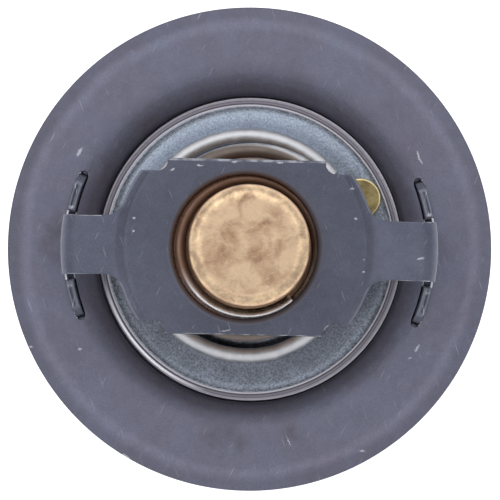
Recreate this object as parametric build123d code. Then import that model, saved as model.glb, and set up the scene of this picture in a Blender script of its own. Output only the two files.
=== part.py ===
from build123d import *
from build123d.topology import SkipClean
import math
import os

# Wax-element engine thermostat, millimetres.
# The origin is on the valve's axis, at half the height of the flange's edge. +Z points along the
# axis towards the wax cup, which stands in the hot coolant. -Z is the outlet side, with the bridge
# and the piston. X runs along the arms of the spring yoke. The valve is drawn closed.
# Heights and depths are given from the flange's engine-side face.

# ---------------------------------------------------------------- driving dimensions
# flange plate: pressed steel, drawn down to a conical seat
FLANGE_R = 33.5
FLANGE_T = 1.5
RIM_BAND_R = 31.3          # the coined rim starts here
RIM_DROP = 0.4             # how far the coined rim falls towards its edge
RIM_EDGE_R = 0.25
THROAT_R = 21.35
THROAT_DEPTH = 0.41        # straight part of the throat
MOUTH_BEND_R = 3.0         # on the engine side
SEAT_ANGLE = 45.0
SEAT_LIP_R = 20.2          # inner edge of the seat, at mid-sheet
SEAT_BEND_R = 0.9          # bend from the throat to the seat, at mid-sheet
SLOT_R = 25.2              # middle of the two curved slots
SLOT_W = 1.68
SLOT_HALF = 10.3           # half a slot's length, measured straight across
CLAMP_MARGIN = 0.8         # from the yoke's feet to the band that the housing clamps

# valve disc: zinc-plated pressing with an upturned rim
DISC_T = 1.2
DISC_R = 21.1
DISC_FLOOR_DEPTH = 3.0     # engine-side face of the floor
DISC_RIM_START_R = 19.1
DISC_RIM_BEND_R = 2.2      # inside the rim
DISC_RIM_ANGLE = 70.0
HUB_RISE = 0.9             # the raised middle that centres the spring
HUB_R = 12.7
HUB_BEND_R = 1.0           # at mid-sheet

# conical spring, closed at both ends
WIRE_R = 1.0
SPRING_BIG_R = 15.3        # mean radius of the end coil on the disc
SPRING_STEP_R = 13.05      # mean radius where the even taper starts
SPRING_SMALL_R = 9.15      # mean radius of the end coil under the yoke
SPRING_TIP_CLEAR = 14.5    # degrees from the vent pin to the wire's end
SPRING_RISE_AT = 270.0     # degrees along the wire: end of the flat coil on the disc,
SPRING_NARROW_AT = 285.0   # start of the first step inwards,
SPRING_TAPER_AT = 450.0    # start of the even taper,
SPRING_FLAT_AT = 1110.0    # start of the flat coil under the yoke,
SPRING_END_AT = 1391.0     # and the wire's end
SPRING_STEPS_PER_TURN = 12

# spring yoke: one steel pressing
YOKE_T = 1.2
YOKE_HEIGHT = 22.0         # top of the arms
YOKE_DISH = 0.45           # how far the middle is dished
YOKE_DISH_R = 16.8         # middle of the dish's ramp
YOKE_RAMP_W = 0.7
YOKE_RAMP_BEND_R = 0.9     # at mid-sheet
YOKE_HOLE_R = 8.85         # inside the drawn collar
YOKE_COLLAR_DEPTH = 2.8    # below the dished face
YOKE_COLLAR_BEND_R = 1.5   # on the face
YOKE_HALF_W = 11.65        # over the turned-down edges
YOKE_SHOULDER_W = 3.47      # from the turned-down edge's end to the wing's corner
YOKE_EDGE_DEPTH = 2.6      # of the turned-down edges, below the dished face
YOKE_EDGE_BEND_R = 0.5
YOKE_SHOULDER_Y = 9.95
YOKE_WING_R = 17.15
YOKE_NOTCH_R = 1.4
YOKE_WING_CORNER_R = 0.5
YOKE_ARM_ROOT_R = 2.8
YOKE_ARM_HALF_W = 4.1
YOKE_LEG_INSET = 0.2       # the leg's top lies this much nearer the axis than its slot
YOKE_ARM_BEND_R = 2.2      # on the face
YOKE_LEG_BEND_R = 6.0      # where the leg straightens above the flange
YOKE_LEG_STRAIGHT_H = 0.8
YOKE_FOOT_BEND_R = 0.8     # at mid-sheet
YOKE_FOOT_LEN = 3.0        # from the slot's middle to the foot's end
YOKE_SHIFT_X = -0.12       # the yoke lies against one side of its slots
YOKE_SHIFT_Y = -0.17

# outlet bridge: one steel pressing, staked through the flange
BRIDGE_T = 1.1
BRIDGE_SHOULDER_HALF = 11.6
BRIDGE_SHOULDER_X = 19.5
BRIDGE_WAIST_HALF = 6.4
BRIDGE_WAIST_X = 8.0
BRIDGE_SIDE_R = 6.0
BRIDGE_KNEE_DEPTH = 9.5
BRIDGE_KNEE_R = 4.0
BRIDGE_CROWN_R = 7.6       # where the slope meets the crown
BRIDGE_DEPTH = 18.6        # crown, at mid-sheet
BRIDGE_CROWN_BEND_R = 3.0
SOCKET_DEPTH = 1.9
SOCKET_BEND_R = 0.8        # at mid-sheet
TIP_HALF = 9.7             # outer side of the staked tips, measured straight across
TIP_RISE = 1.15            # above the flange
TIP_SPREAD = 0.4           # each side, where the chisel spread the tip
TIP_SPREAD_LEN = 2.6
TIP_SPREAD_T = 0.5
TIP_GROOVE_W = 0.45

# wax element
CUP_R = 7.85
CUP_WALL = 0.9
CUP_HEIGHT = 30.0
CUP_EDGE_R = 1.3
CUP_FOOT_BEND_R = 0.75     # at mid-wall
COLLAR_R = 10.0
COLLAR_BEND_R = 0.5        # at mid-wall
CRIMP_IN_R = 8.3
GUIDE_FLANGE_T = 1.9
GUIDE_BOSS_R = 7.9
NECK_R = 4.4
NECK_DEPTH = 15.0
NECK_CHAMFER = 0.4
DIAPHRAGM_T = 1.0
DIAPHRAGM_DOME_R = 5.2
DIAPHRAGM_DOME_H = 0.8
PLUG_MOUTH_R = 3.9
PLUG_DEPTH = 2.3
ANTI_EXTRUSION_T = 0.8
PISTON_R = 2.0
PISTON_TIP_CHAMFER = 0.9
PISTON_HEAD_CHAMFER = 0.25
WIPER_R = 3.2
WIPER_DEPTH = 1.8
CLIP_T = 0.9
CLIP_R = 7.0
CLIP_GROOVE = 0.6
CLIP_MOUTH = 6.0           # width of the clip's open side

# vent pin in the disc
PIN_AT_R = 16.95
PIN_ANGLE = 25.7
PIN_HEAD_R = 2.85
PIN_HEAD_T = 0.8
PIN_HEAD_EDGE = 0.25
PIN_SHANK_R = 1.0
PIN_HOLE_R = 1.6
PIN_TRAVEL = 0.7
PIN_WEIGHT_R = 2.3
PIN_WEIGHT_H = 3.4
PIN_WEIGHT_EDGE = 0.8
PIN_TAIL = 0.4             # peened end below the weight

# named clearances
SEAT_GAP = 0.02            # between flat faces that rest on each other
FIT_GAP = 0.03             # running fit of the piston, on the radius
PRESS_GAP = 0.02           # between round faces held in one body
LOOSE_GAP = 0.08           # under the head of the loose vent pin
STOP_GAP = 0.1             # left above the pin's weight at the end of its travel
NOTCH_GAP = 0.6            # round the yoke's leg in the bridge's notch

CUT = 80.0                 # length of trimming tools, larger than the part

# ---------------------------------------------------------------- derived heights and radii
FACE_Z = (FLANGE_T + RIM_DROP) / 2
FLANGE_BACK_Z = FACE_Z - FLANGE_T
DISC_FLOOR_Z = FACE_Z - DISC_FLOOR_DEPTH
DISC_BACK_Z = DISC_FLOOR_Z - DISC_T
HUB_TOP_Z = DISC_FLOOR_Z + HUB_RISE
HUB_BACK_Z = HUB_TOP_Z - DISC_T
YOKE_TOP_Z = FACE_Z + YOKE_HEIGHT
YOKE_FACE_Z = YOKE_TOP_Z - YOKE_DISH
COLLAR_LIP_Z = YOKE_FACE_Z - YOKE_COLLAR_DEPTH
FOOT_TOP_Z = FLANGE_BACK_Z - SEAT_GAP
NOTCH_Z = FOOT_TOP_Z - YOKE_T - NOTCH_GAP
YOKE_FOOT_R = SLOT_R + YOKE_FOOT_LEN
CLAMP_R = YOKE_FOOT_R + CLAMP_MARGIN
YOKE_WING_X = math.sqrt(YOKE_WING_R**2 - YOKE_SHOULDER_Y**2)
YOKE_EDGE_HALF = YOKE_WING_X - YOKE_SHOULDER_W
BRIDGE_CROWN_Z = FACE_Z - BRIDGE_DEPTH
SOCKET_FLOOR_Z = BRIDGE_CROWN_Z - SOCKET_DEPTH + BRIDGE_T / 2
SOCKET_R = PISTON_R + PRESS_GAP + BRIDGE_T / 2

CUP_END_Z = FACE_Z + CUP_HEIGHT
NECK_END_Z = FACE_Z - NECK_DEPTH
CRIMP_Z = HUB_TOP_Z + SEAT_GAP
GUIDE_FLANGE_Z = CRIMP_Z + CUP_WALL + SEAT_GAP
GUIDE_TOP_Z = GUIDE_FLANGE_Z + GUIDE_FLANGE_T
DIAPHRAGM_Z = GUIDE_TOP_Z + SEAT_GAP
DIAPHRAGM_TOP_Z = DIAPHRAGM_Z + DIAPHRAGM_T
CUP_SHOULDER_Z = DIAPHRAGM_TOP_Z + SEAT_GAP
CLAMPED_R = COLLAR_R - CUP_WALL - PRESS_GAP
CUP_BORE_R = CUP_R - CUP_WALL
BORE_R = PISTON_R + FIT_GAP
PLUG_FOOT_Z = GUIDE_TOP_Z - PLUG_DEPTH
ANTI_EXTRUSION_Z = PLUG_FOOT_Z - SEAT_GAP - ANTI_EXTRUSION_T
PISTON_HEAD_Z = ANTI_EXTRUSION_Z - SEAT_GAP
PISTON_TIP_Z = SOCKET_FLOOR_Z + SEAT_GAP
CLIP_TOP_Z = HUB_BACK_Z - SEAT_GAP
CLIP_BACK_Z = CLIP_TOP_Z - CLIP_T

PIN_X = PIN_AT_R * math.cos(math.radians(PIN_ANGLE))
PIN_Y = PIN_AT_R * math.sin(math.radians(PIN_ANGLE))
PIN_HEAD_Z = DISC_FLOOR_Z + LOOSE_GAP
PIN_WEIGHT_TOP_Z = DISC_BACK_Z - PIN_TRAVEL - STOP_GAP
PIN_WEIGHT_BACK_Z = PIN_WEIGHT_TOP_Z - PIN_WEIGHT_H


# ---------------------------------------------------------------- helpers
def strip(points, radii, thickness):
    """A sheet's cross-section in the X-Z plane, traced along its mid-line."""
    mid_line = FilletPolyline(*points, radius=radii)
    return Plane.XZ * trace(mid_line, line_width=thickness)


def spun(face):
    return revolve(face, axis=Axis.Z, revolution_arc=360)


def turned(*points):
    """A turned body from its half-section, given as radius and height."""
    return spun(Plane.XZ * make_face(Polyline(*points, close=True)))


def ring(outer, inner, low, high):
    return turned((inner, low), (outer, low), (outer, high), (inner, high))


def slab(x0, x1, y0, y1, z0, z1):
    middle = Pos((x0 + x1) / 2, (y0 + y1) / 2, (z0 + z1) / 2)
    return middle * Box(x1 - x0, y1 - y0, z1 - z0)


def prism(sketch):
    """The sketch, carried right through the part along Z."""
    return Pos(0, 0, -CUT / 2) * extrude(sketch, amount=CUT)


def on_both_arms(shape):
    return shape + mirror(shape, about=Plane.YZ)


def on_both_sides(shape):
    return shape + mirror(shape, about=Plane.XZ)


def corners_at(sketch, x, y):
    """The outline's four corners at plus or minus x and plus or minus y."""
    near = 0.01
    return [v for v in sketch.vertices() if abs(abs(v.X) - x) < near and abs(abs(v.Y) - y) < near]


def circles_of(shape, radius, height):
    """The round edges of one radius at one height."""
    near = 0.01
    rounds = shape.edges().filter_by(GeomType.CIRCLE)
    return [e for e in rounds if abs(e.radius - radius) < near and abs(e.arc_center.Z - height) < near]


# ---------------------------------------------------------------- flange plate
def curved_slot():
    half_angle = math.degrees(math.asin((SLOT_HALF - SLOT_W / 2) / SLOT_R))
    middle = CenterArc((0, 0), SLOT_R, -half_angle, 2 * half_angle)
    return prism(SlotArc(middle, SLOT_W))


def with_clamped_band(plate):
    """The same plate, with the flat bands that the housing clamps outlined as faces of their own."""
    inside = Cylinder(CLAMP_R, CUT)
    with SkipClean():
        return (plate & inside) + (plate - inside)


def flange_plate():
    face_mid_z = FACE_Z - FLANGE_T / 2
    throat_mid_r = THROAT_R + FLANGE_T / 2
    seat_turn = math.radians(SEAT_ANGLE)
    bend_run = SEAT_BEND_R * math.tan(seat_turn / 2)
    corner_z = FACE_Z - MOUTH_BEND_R - THROAT_DEPTH - bend_run
    seat_drop = (throat_mid_r - SEAT_LIP_R) / math.tan(seat_turn)
    points = [
        (FLANGE_R, face_mid_z),
        (throat_mid_r, face_mid_z),
        (throat_mid_r, corner_z),
        (SEAT_LIP_R, corner_z - seat_drop),
    ]
    plate = spun(strip(points, [MOUTH_BEND_R - FLANGE_T / 2, SEAT_BEND_R], FLANGE_T))
    rim_z = FACE_Z - RIM_DROP
    plate -= turned((RIM_BAND_R, FACE_Z), (FLANGE_R, rim_z), (FLANGE_R, CUT), (RIM_BAND_R, CUT))
    rim = circles_of(plate, FLANGE_R, rim_z) + circles_of(plate, FLANGE_R, FLANGE_BACK_Z)
    plate = fillet(rim, RIM_EDGE_R)
    return with_clamped_band(plate - on_both_arms(curved_slot()))


# ---------------------------------------------------------------- valve disc
def valve_disc():
    floor_z = DISC_FLOOR_Z - DISC_T / 2
    hub_z = floor_z + HUB_RISE
    rim_bend_r = DISC_RIM_BEND_R + DISC_T / 2
    rim_turn = math.radians(DISC_RIM_ANGLE)
    rim_run = rim_bend_r * math.tan(rim_turn / 2)
    rim_corner_r = DISC_RIM_START_R + rim_run
    rim_end = (rim_corner_r + DISC_T * math.cos(rim_turn) + rim_run * math.cos(rim_turn),
               floor_z + DISC_T * math.sin(rim_turn) + rim_run * math.sin(rim_turn))
    points = [
        (NECK_R + PRESS_GAP, hub_z),
        (HUB_R, hub_z),
        (HUB_R + HUB_RISE, floor_z),
        (rim_corner_r, floor_z),
        rim_end,
    ]
    disc = spun(strip(points, [HUB_BEND_R, HUB_BEND_R, rim_bend_r], DISC_T))
    disc &= Cylinder(DISC_R, CUT)
    return disc - Pos(PIN_X, PIN_Y, 0) * Cylinder(PIN_HOLE_R, CUT)


# ---------------------------------------------------------------- conical spring
def between(value, low, high):
    """How far value lies from low to high, from 0 to 1."""
    return min(1.0, max(0.0, (value - low) / (high - low)))


def spring_point(angle):
    """A point of the wire's middle, at an angle along the wire in degrees."""
    low_z = DISC_FLOOR_Z + WIRE_R + SEAT_GAP
    high_z = COLLAR_LIP_Z - WIRE_R - SEAT_GAP
    first_step = (SPRING_STEP_R - SPRING_BIG_R) * between(angle, SPRING_NARROW_AT, SPRING_TAPER_AT)
    even_taper = (SPRING_SMALL_R - SPRING_STEP_R) * between(angle, SPRING_TAPER_AT, SPRING_FLAT_AT)
    radius = SPRING_BIG_R + first_step + even_taper
    height = low_z + (high_z - low_z) * between(angle, SPRING_RISE_AT, SPRING_FLAT_AT)
    turn = math.radians(angle)
    return (radius * math.cos(turn), radius * math.sin(turn), height)


def valve_spring():
    start = PIN_ANGLE + SPRING_TIP_CLEAR
    steps = round((SPRING_END_AT - start) / 360.0 * SPRING_STEPS_PER_TURN)
    stride = (SPRING_END_AT - start) / steps
    middle = Spline([spring_point(start + stride * i) for i in range(steps + 1)])
    wire_end = Plane(origin=middle @ 0, z_dir=middle % 0) * Circle(WIRE_R)
    return sweep(wire_end, path=middle, is_frenet=False)


# ---------------------------------------------------------------- spring yoke
def yoke_blank():
    """The yoke's outline, seen along the axis."""
    plate = Rectangle(2 * YOKE_EDGE_HALF, 2 * YOKE_HALF_W)
    wings = Circle(YOKE_WING_R) & Rectangle(CUT, 2 * YOKE_SHOULDER_Y)
    arms = Rectangle(CUT, 2 * YOKE_ARM_HALF_W)
    blank = plate + wings + arms
    root_x = math.sqrt(YOKE_WING_R**2 - YOKE_ARM_HALF_W**2)
    blank = fillet(corners_at(blank, YOKE_EDGE_HALF, YOKE_SHOULDER_Y), YOKE_NOTCH_R)
    blank = fillet(corners_at(blank, YOKE_WING_X, YOKE_SHOULDER_Y), YOKE_WING_CORNER_R)
    return fillet(corners_at(blank, root_x, YOKE_ARM_HALF_W), YOKE_ARM_ROOT_R)


def turned_down_edge(low_z, high_z):
    """The strip along one side of the yoke, between two heights."""
    return slab(-YOKE_EDGE_HALF, YOKE_EDGE_HALF, YOKE_HALF_W - YOKE_T, YOKE_HALF_W, low_z, high_z)


def spring_yoke():
    dish_z = YOKE_FACE_Z - YOKE_T / 2
    arm_z = YOKE_TOP_Z - YOKE_T / 2
    foot_z = FOOT_TOP_Z - YOKE_T / 2
    points = [
        (YOKE_HOLE_R + YOKE_T / 2, COLLAR_LIP_Z),
        (YOKE_HOLE_R + YOKE_T / 2, dish_z),
        (YOKE_DISH_R - YOKE_RAMP_W / 2, dish_z),
        (YOKE_DISH_R + YOKE_RAMP_W / 2, arm_z),
        (SLOT_R - YOKE_LEG_INSET - YOKE_T / 2, arm_z),
        (SLOT_R, FACE_Z + YOKE_LEG_STRAIGHT_H),
        (SLOT_R, foot_z),
        (YOKE_FOOT_R, foot_z),
    ]
    collar_bend = YOKE_COLLAR_BEND_R - YOKE_T / 2
    arm_bend = YOKE_ARM_BEND_R - YOKE_T / 2
    radii = [collar_bend, YOKE_RAMP_BEND_R, YOKE_RAMP_BEND_R, arm_bend, YOKE_LEG_BEND_R, YOKE_FOOT_BEND_R]
    yoke = spun(strip(points, radii, YOKE_T))
    yoke &= prism(yoke_blank())
    edge = turned_down_edge(YOKE_FACE_Z - YOKE_EDGE_DEPTH, YOKE_FACE_Z)
    outer_top = edge.edges().filter_by(Axis.X).sort_by(lambda e: e.center().Y + e.center().Z)[-1]
    yoke -= on_both_sides(turned_down_edge(-CUT, CUT))
    yoke += on_both_sides(fillet(outer_top, YOKE_EDGE_BEND_R))
    return Pos(YOKE_SHIFT_X, YOKE_SHIFT_Y, 0) * yoke


# ---------------------------------------------------------------- outlet bridge
def bridge_blank():
    """The bridge's outline, seen along the axis."""
    quarter = [
        (0, BRIDGE_WAIST_HALF),
        (BRIDGE_WAIST_X, BRIDGE_WAIST_HALF),
        (BRIDGE_SHOULDER_X, BRIDGE_SHOULDER_HALF),
        (CUT / 2, BRIDGE_SHOULDER_HALF),
    ]
    half = quarter[1:] + [(x, -y) for x, y in reversed(quarter[1:])]
    other_half = [(-x, -y) for x, y in half]
    blank = make_face(Polyline(*half, *other_half, close=True))
    blank = fillet(corners_at(blank, BRIDGE_WAIST_X, BRIDGE_WAIST_HALF), BRIDGE_SIDE_R)
    return fillet(corners_at(blank, BRIDGE_SHOULDER_X, BRIDGE_SHOULDER_HALF), BRIDGE_SIDE_R)


def leg_trim():
    """What is cut from a leg: beside the tips, above the shoulders, and the notch for the yoke."""
    outer = on_both_sides(slab(0, CUT / 2, TIP_HALF, CUT / 2, FOOT_TOP_Z, CUT / 2))
    notch_half = YOKE_ARM_HALF_W + NOTCH_GAP
    notch = slab(0, CUT / 2, -notch_half, notch_half, NOTCH_Z, CUT / 2)
    return outer + notch


def staked_tip():
    """The spread that the chisel left on one tip, and its groove, as a pair of shapes."""
    notch_half = YOKE_ARM_HALF_W + NOTCH_GAP
    tip_y = (notch_half + TIP_HALF) / 2
    tip_angle = math.degrees(math.asin(tip_y / SLOT_R))
    half_width = BRIDGE_T / 2 + TIP_SPREAD
    spread = slab(SLOT_R - half_width, SLOT_R + half_width, -TIP_SPREAD_LEN / 2, TIP_SPREAD_LEN / 2,
                  FACE_Z + SEAT_GAP, FACE_Z + SEAT_GAP + TIP_SPREAD_T)
    spread = chamfer(spread.edges().filter_by(Axis.Y).group_by(Axis.Z)[-1], TIP_SPREAD_T / 2)
    groove = Rot(0, 45, 0) * Box(TIP_GROOVE_W, TIP_SPREAD_LEN, TIP_GROOVE_W)
    groove = Pos(SLOT_R, 0, FACE_Z + TIP_RISE) * groove
    place = Rot(0, 0, tip_angle)
    return place * spread, place * groove


def outlet_bridge():
    points = [
        (SLOT_R, FACE_Z + TIP_RISE),
        (SLOT_R, FACE_Z - BRIDGE_KNEE_DEPTH),
        (BRIDGE_CROWN_R, BRIDGE_CROWN_Z),
        (SOCKET_R, BRIDGE_CROWN_Z),
        (SOCKET_R, BRIDGE_CROWN_Z - SOCKET_DEPTH),
        (0, BRIDGE_CROWN_Z - SOCKET_DEPTH),
    ]
    radii = [BRIDGE_KNEE_R, BRIDGE_CROWN_BEND_R, SOCKET_BEND_R, SOCKET_BEND_R]
    bridge = spun(strip(points, radii, BRIDGE_T)) & prism(bridge_blank())
    bridge -= on_both_arms(leg_trim())
    spread, groove = staked_tip()
    bridge += on_both_arms(on_both_sides(spread))
    return bridge - on_both_arms(on_both_sides(groove))


# ---------------------------------------------------------------- wax element
def wax_cup():
    collar_mid_r = COLLAR_R - CUP_WALL / 2
    points = [
        (CRIMP_IN_R, CRIMP_Z + CUP_WALL / 2),
        (collar_mid_r, CRIMP_Z + CUP_WALL / 2),
        (collar_mid_r, CUP_SHOULDER_Z + CUP_WALL / 2),
        (CUP_R - CUP_WALL / 2, CUP_SHOULDER_Z + CUP_WALL / 2),
        (CUP_R - CUP_WALL / 2, CUP_END_Z - CUP_WALL / 2),
        (0, CUP_END_Z - CUP_WALL / 2),
    ]
    radii = [COLLAR_BEND_R, COLLAR_BEND_R, CUP_FOOT_BEND_R, CUP_EDGE_R - CUP_WALL / 2]
    return spun(strip(points, radii, CUP_WALL))


def wax_charge():
    edge_r = CUP_BORE_R - PRESS_GAP
    top_z = CUP_END_Z - CUP_WALL - SEAT_GAP
    corner = CUP_EDGE_R - CUP_WALL
    low_z = CUP_SHOULDER_Z
    dome_z = low_z + DIAPHRAGM_DOME_H
    return turned((0, dome_z), (DIAPHRAGM_DOME_R - DIAPHRAGM_DOME_H, dome_z), (DIAPHRAGM_DOME_R, low_z),
                  (edge_r, low_z), (edge_r, top_z - corner), (edge_r - corner, top_z), (0, top_z))


def diaphragm():
    dome_z = DIAPHRAGM_TOP_Z + DIAPHRAGM_DOME_H
    return turned((0, DIAPHRAGM_Z), (CLAMPED_R, DIAPHRAGM_Z), (CLAMPED_R, DIAPHRAGM_TOP_Z),
                  (DIAPHRAGM_DOME_R, DIAPHRAGM_TOP_Z),
                  (DIAPHRAGM_DOME_R - DIAPHRAGM_DOME_H, dome_z), (0, dome_z))


def guide_body():
    groove_r = NECK_R - CLIP_GROOVE
    seal_r = WIPER_R + PRESS_GAP
    seal_z = NECK_END_Z + WIPER_DEPTH
    return turned((PLUG_MOUTH_R, GUIDE_TOP_Z), (CLAMPED_R, GUIDE_TOP_Z), (CLAMPED_R, GUIDE_FLANGE_Z),
                  (GUIDE_BOSS_R, GUIDE_FLANGE_Z), (GUIDE_BOSS_R, CRIMP_Z), (NECK_R, CRIMP_Z),
                  (NECK_R, CLIP_TOP_Z + SEAT_GAP), (groove_r, CLIP_TOP_Z + SEAT_GAP),
                  (groove_r, CLIP_BACK_Z - SEAT_GAP), (NECK_R, CLIP_BACK_Z - SEAT_GAP),
                  (NECK_R, NECK_END_Z + NECK_CHAMFER), (NECK_R - NECK_CHAMFER, NECK_END_Z),
                  (seal_r, NECK_END_Z), (seal_r, seal_z), (BORE_R, seal_z), (BORE_R, PLUG_FOOT_Z))


def transfer_plug():
    top_z = GUIDE_TOP_Z - SEAT_GAP
    foot_z = PLUG_FOOT_Z + SEAT_GAP
    return turned((0, foot_z), (BORE_R - PRESS_GAP, foot_z), (PLUG_MOUTH_R - PRESS_GAP, top_z), (0, top_z))


def anti_extrusion_disc():
    return ring(PISTON_R, 0, ANTI_EXTRUSION_Z, ANTI_EXTRUSION_Z + ANTI_EXTRUSION_T)


def piston():
    return turned((0, PISTON_TIP_Z), (PISTON_R - PISTON_TIP_CHAMFER, PISTON_TIP_Z),
                  (PISTON_R, PISTON_TIP_Z + PISTON_TIP_CHAMFER),
                  (PISTON_R, PISTON_HEAD_Z - PISTON_HEAD_CHAMFER),
                  (PISTON_R - PISTON_HEAD_CHAMFER, PISTON_HEAD_Z), (0, PISTON_HEAD_Z))


def wiper_seal():
    return ring(WIPER_R, BORE_R, NECK_END_Z, NECK_END_Z + WIPER_DEPTH - SEAT_GAP)


def retaining_clip():
    clip = ring(CLIP_R, NECK_R - CLIP_GROOVE + PRESS_GAP, CLIP_BACK_Z, CLIP_TOP_Z)
    return clip - slab(0, CUT / 2, -CLIP_MOUTH / 2, CLIP_MOUTH / 2, -CUT / 2, CUT / 2)


# ---------------------------------------------------------------- vent pin
def jiggle_pin():
    head_top_z = PIN_HEAD_Z + PIN_HEAD_T
    tail_z = PIN_WEIGHT_BACK_Z - PIN_TAIL
    pin = turned((0, head_top_z), (PIN_HEAD_R - PIN_HEAD_EDGE, head_top_z),
                 (PIN_HEAD_R, head_top_z - PIN_HEAD_EDGE), (PIN_HEAD_R, PIN_HEAD_Z + PIN_HEAD_EDGE),
                 (PIN_HEAD_R - PIN_HEAD_EDGE, PIN_HEAD_Z), (PIN_SHANK_R, PIN_HEAD_Z),
                 (PIN_SHANK_R, tail_z), (0, tail_z))
    return Pos(PIN_X, PIN_Y, 0) * pin


def pin_weight():
    bore_r = PIN_SHANK_R + PRESS_GAP
    edge_r = PIN_WEIGHT_R - PIN_WEIGHT_EDGE
    weight = turned((bore_r, PIN_WEIGHT_TOP_Z), (edge_r, PIN_WEIGHT_TOP_Z),
                    (PIN_WEIGHT_R, PIN_WEIGHT_TOP_Z - PIN_WEIGHT_EDGE),
                    (PIN_WEIGHT_R, PIN_WEIGHT_BACK_Z + PIN_WEIGHT_EDGE),
                    (edge_r, PIN_WEIGHT_BACK_Z), (bore_r, PIN_WEIGHT_BACK_Z))
    return Pos(PIN_X, PIN_Y, 0) * weight


# ---------------------------------------------------------------- export
PIECES = [
    flange_plate, valve_disc, valve_spring, spring_yoke, outlet_bridge,
    wax_cup, wax_charge, diaphragm, guide_body, transfer_plug, anti_extrusion_disc,
    piston, wiper_seal, retaining_clip, jiggle_pin, pin_weight,
]

os.makedirs("parts", exist_ok=True)
for piece in PIECES:
    export_step(piece(), f"parts/{piece.__name__}.step")
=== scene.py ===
import bisect
import math

import bmesh
import bpy
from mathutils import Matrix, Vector, geometry


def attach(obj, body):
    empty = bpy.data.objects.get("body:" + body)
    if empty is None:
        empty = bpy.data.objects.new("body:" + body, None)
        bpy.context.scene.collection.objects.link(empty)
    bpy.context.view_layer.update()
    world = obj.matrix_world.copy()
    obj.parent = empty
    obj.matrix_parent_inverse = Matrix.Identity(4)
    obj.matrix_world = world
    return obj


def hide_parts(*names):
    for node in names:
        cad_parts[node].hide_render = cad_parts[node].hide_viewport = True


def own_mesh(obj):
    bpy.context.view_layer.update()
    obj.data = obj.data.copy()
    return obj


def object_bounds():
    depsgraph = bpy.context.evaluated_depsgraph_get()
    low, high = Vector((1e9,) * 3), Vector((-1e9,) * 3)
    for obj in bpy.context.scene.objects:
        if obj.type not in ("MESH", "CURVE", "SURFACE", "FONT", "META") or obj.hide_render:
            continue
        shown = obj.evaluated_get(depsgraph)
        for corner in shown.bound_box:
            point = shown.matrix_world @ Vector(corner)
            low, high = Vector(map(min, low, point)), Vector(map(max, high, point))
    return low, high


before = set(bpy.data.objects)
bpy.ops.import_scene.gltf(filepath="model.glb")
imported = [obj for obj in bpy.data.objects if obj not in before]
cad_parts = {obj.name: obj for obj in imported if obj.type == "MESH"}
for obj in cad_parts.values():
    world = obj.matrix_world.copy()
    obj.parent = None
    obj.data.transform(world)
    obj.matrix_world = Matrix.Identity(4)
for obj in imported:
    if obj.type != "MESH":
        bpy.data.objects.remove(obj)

CAD_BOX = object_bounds()

# ---------------------------------------------------------------- sizes, in millimetres
# The origin is on the valve's axis, at half the height of the flange's edge. +Z points along the axis
# towards the wax cup, and X runs along the arms of the spring yoke. The valve is drawn closed.
# Heights and depths are given from the flange's engine-side face, which lies at FACE_Z.
MM = 0.001
SEAT_GAP = 0.02            # between flat faces that rest on each other
SHEET_EDGE_R = 0.18        # rounding of a sheared sheet's edges
BEND_STEP = 6.0            # degrees between the points of a bend

# flange plate: pressed steel, drawn down to a conical seat
FLANGE_R = 33.5
FLANGE_T = 1.5
RIM_BAND_R = 31.3          # the coined rim starts here
RIM_DROP = 0.4             # how far the solid's rim falls, which sets the origin's height
RIM_FALL = 0.14            # how far it falls to the eye
RIM_EDGE_R = 0.25
FACE_Z = (FLANGE_T + RIM_DROP) / 2
THROAT_R = 21.35
THROAT_DEPTH = 0.41        # straight part of the throat below the disc's floor
THROAT_BEND_R = 0.8        # the last and tightest bend of the mouth, at mid-sheet
# the mouth curves down ever more steeply: radius, fall below the face, and the bend's radius there
MOUTH = [(26.0, 0.0, 12.0), (24.9, 0.08, 6.5), (23.9, 0.29, 6.2), (22.9, 0.68, 4.0)]
MOUTH_FOOT = 1.2           # fall of the corner where the mouth meets the straight throat
SEAT_LIP_R = 20.2          # inner edge of the seat, at mid-sheet
SEAT_BEND_R = 0.9          # bend from the throat to the seat, at mid-sheet
SEAT_ANGLE = 45.0
SLOT_R = 25.2              # middle of the two curved slots
SLOT_W = 1.34
SLOT_HALF = 10.1           # half a slot's length, measured straight across
SLOT_EDGE_R = 0.03         # the punched slots stay almost sharp

# valve disc: zinc-plated pressing with an upturned rim
DISC_T = 1.2
DISC_R = 21.1
DISC_FLOOR_DEPTH = 3.0     # engine-side face of the floor
DISC_FLOOR_Z = FACE_Z - DISC_FLOOR_DEPTH
DISC_RIM_START_R = 18.9
DISC_RIM_BEND_R = 3.0      # inside the rim
DISC_RIM_ANGLE = 20.0
DISC_EDGE_R = 0.08
DISC_NECK_R = 4.42         # hole for the guide's neck
DISC_SHIFT = Vector((0.12, 0.0, 0.0))          # within its clearance in the throat
HUB_RISE = 0.9             # the raised middle that centres the spring
HUB_R = 12.7
HUB_BEND_R = 1.0           # at mid-sheet

# conical spring, closed at both ends
WIRE_R = 1.0
WIRE_EDGE = 0.12           # broken edge of the wire's cut ends
SPRING_BIG_R = 15.3        # mean radius of the end coil on the disc
SPRING_STEP_R = 13.05      # mean radius where the even taper starts
SPRING_SMALL_R = 9.28      # mean radius of the end coil under the yoke
SPRING_TIP_CLEAR = 14.5    # degrees from the vent pin to the wire's end
SPRING_RISE_AT = 270.0     # degrees along the wire: end of the flat coil on the disc,
SPRING_NARROW_AT = 285.0   # start of the first step inwards,
SPRING_TAPER_AT = 450.0    # start of the even taper,
SPRING_FLAT_AT = 1110.0    # start of the flat coil under the yoke,
SPRING_END_AT = 1391.0     # and the wire's end
SPRING_EASE = 24.0         # degrees over which the wire's changes of slope are eased, each way
SPRING_LEAN = Vector((-0.3, 0.5, 0.0))         # the big coil lies a little to one side of the disc
SPRING_TOP_LEAN = Vector((-0.2, 0.12, 0.0))    # and the last coil to one side of the cup

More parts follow.
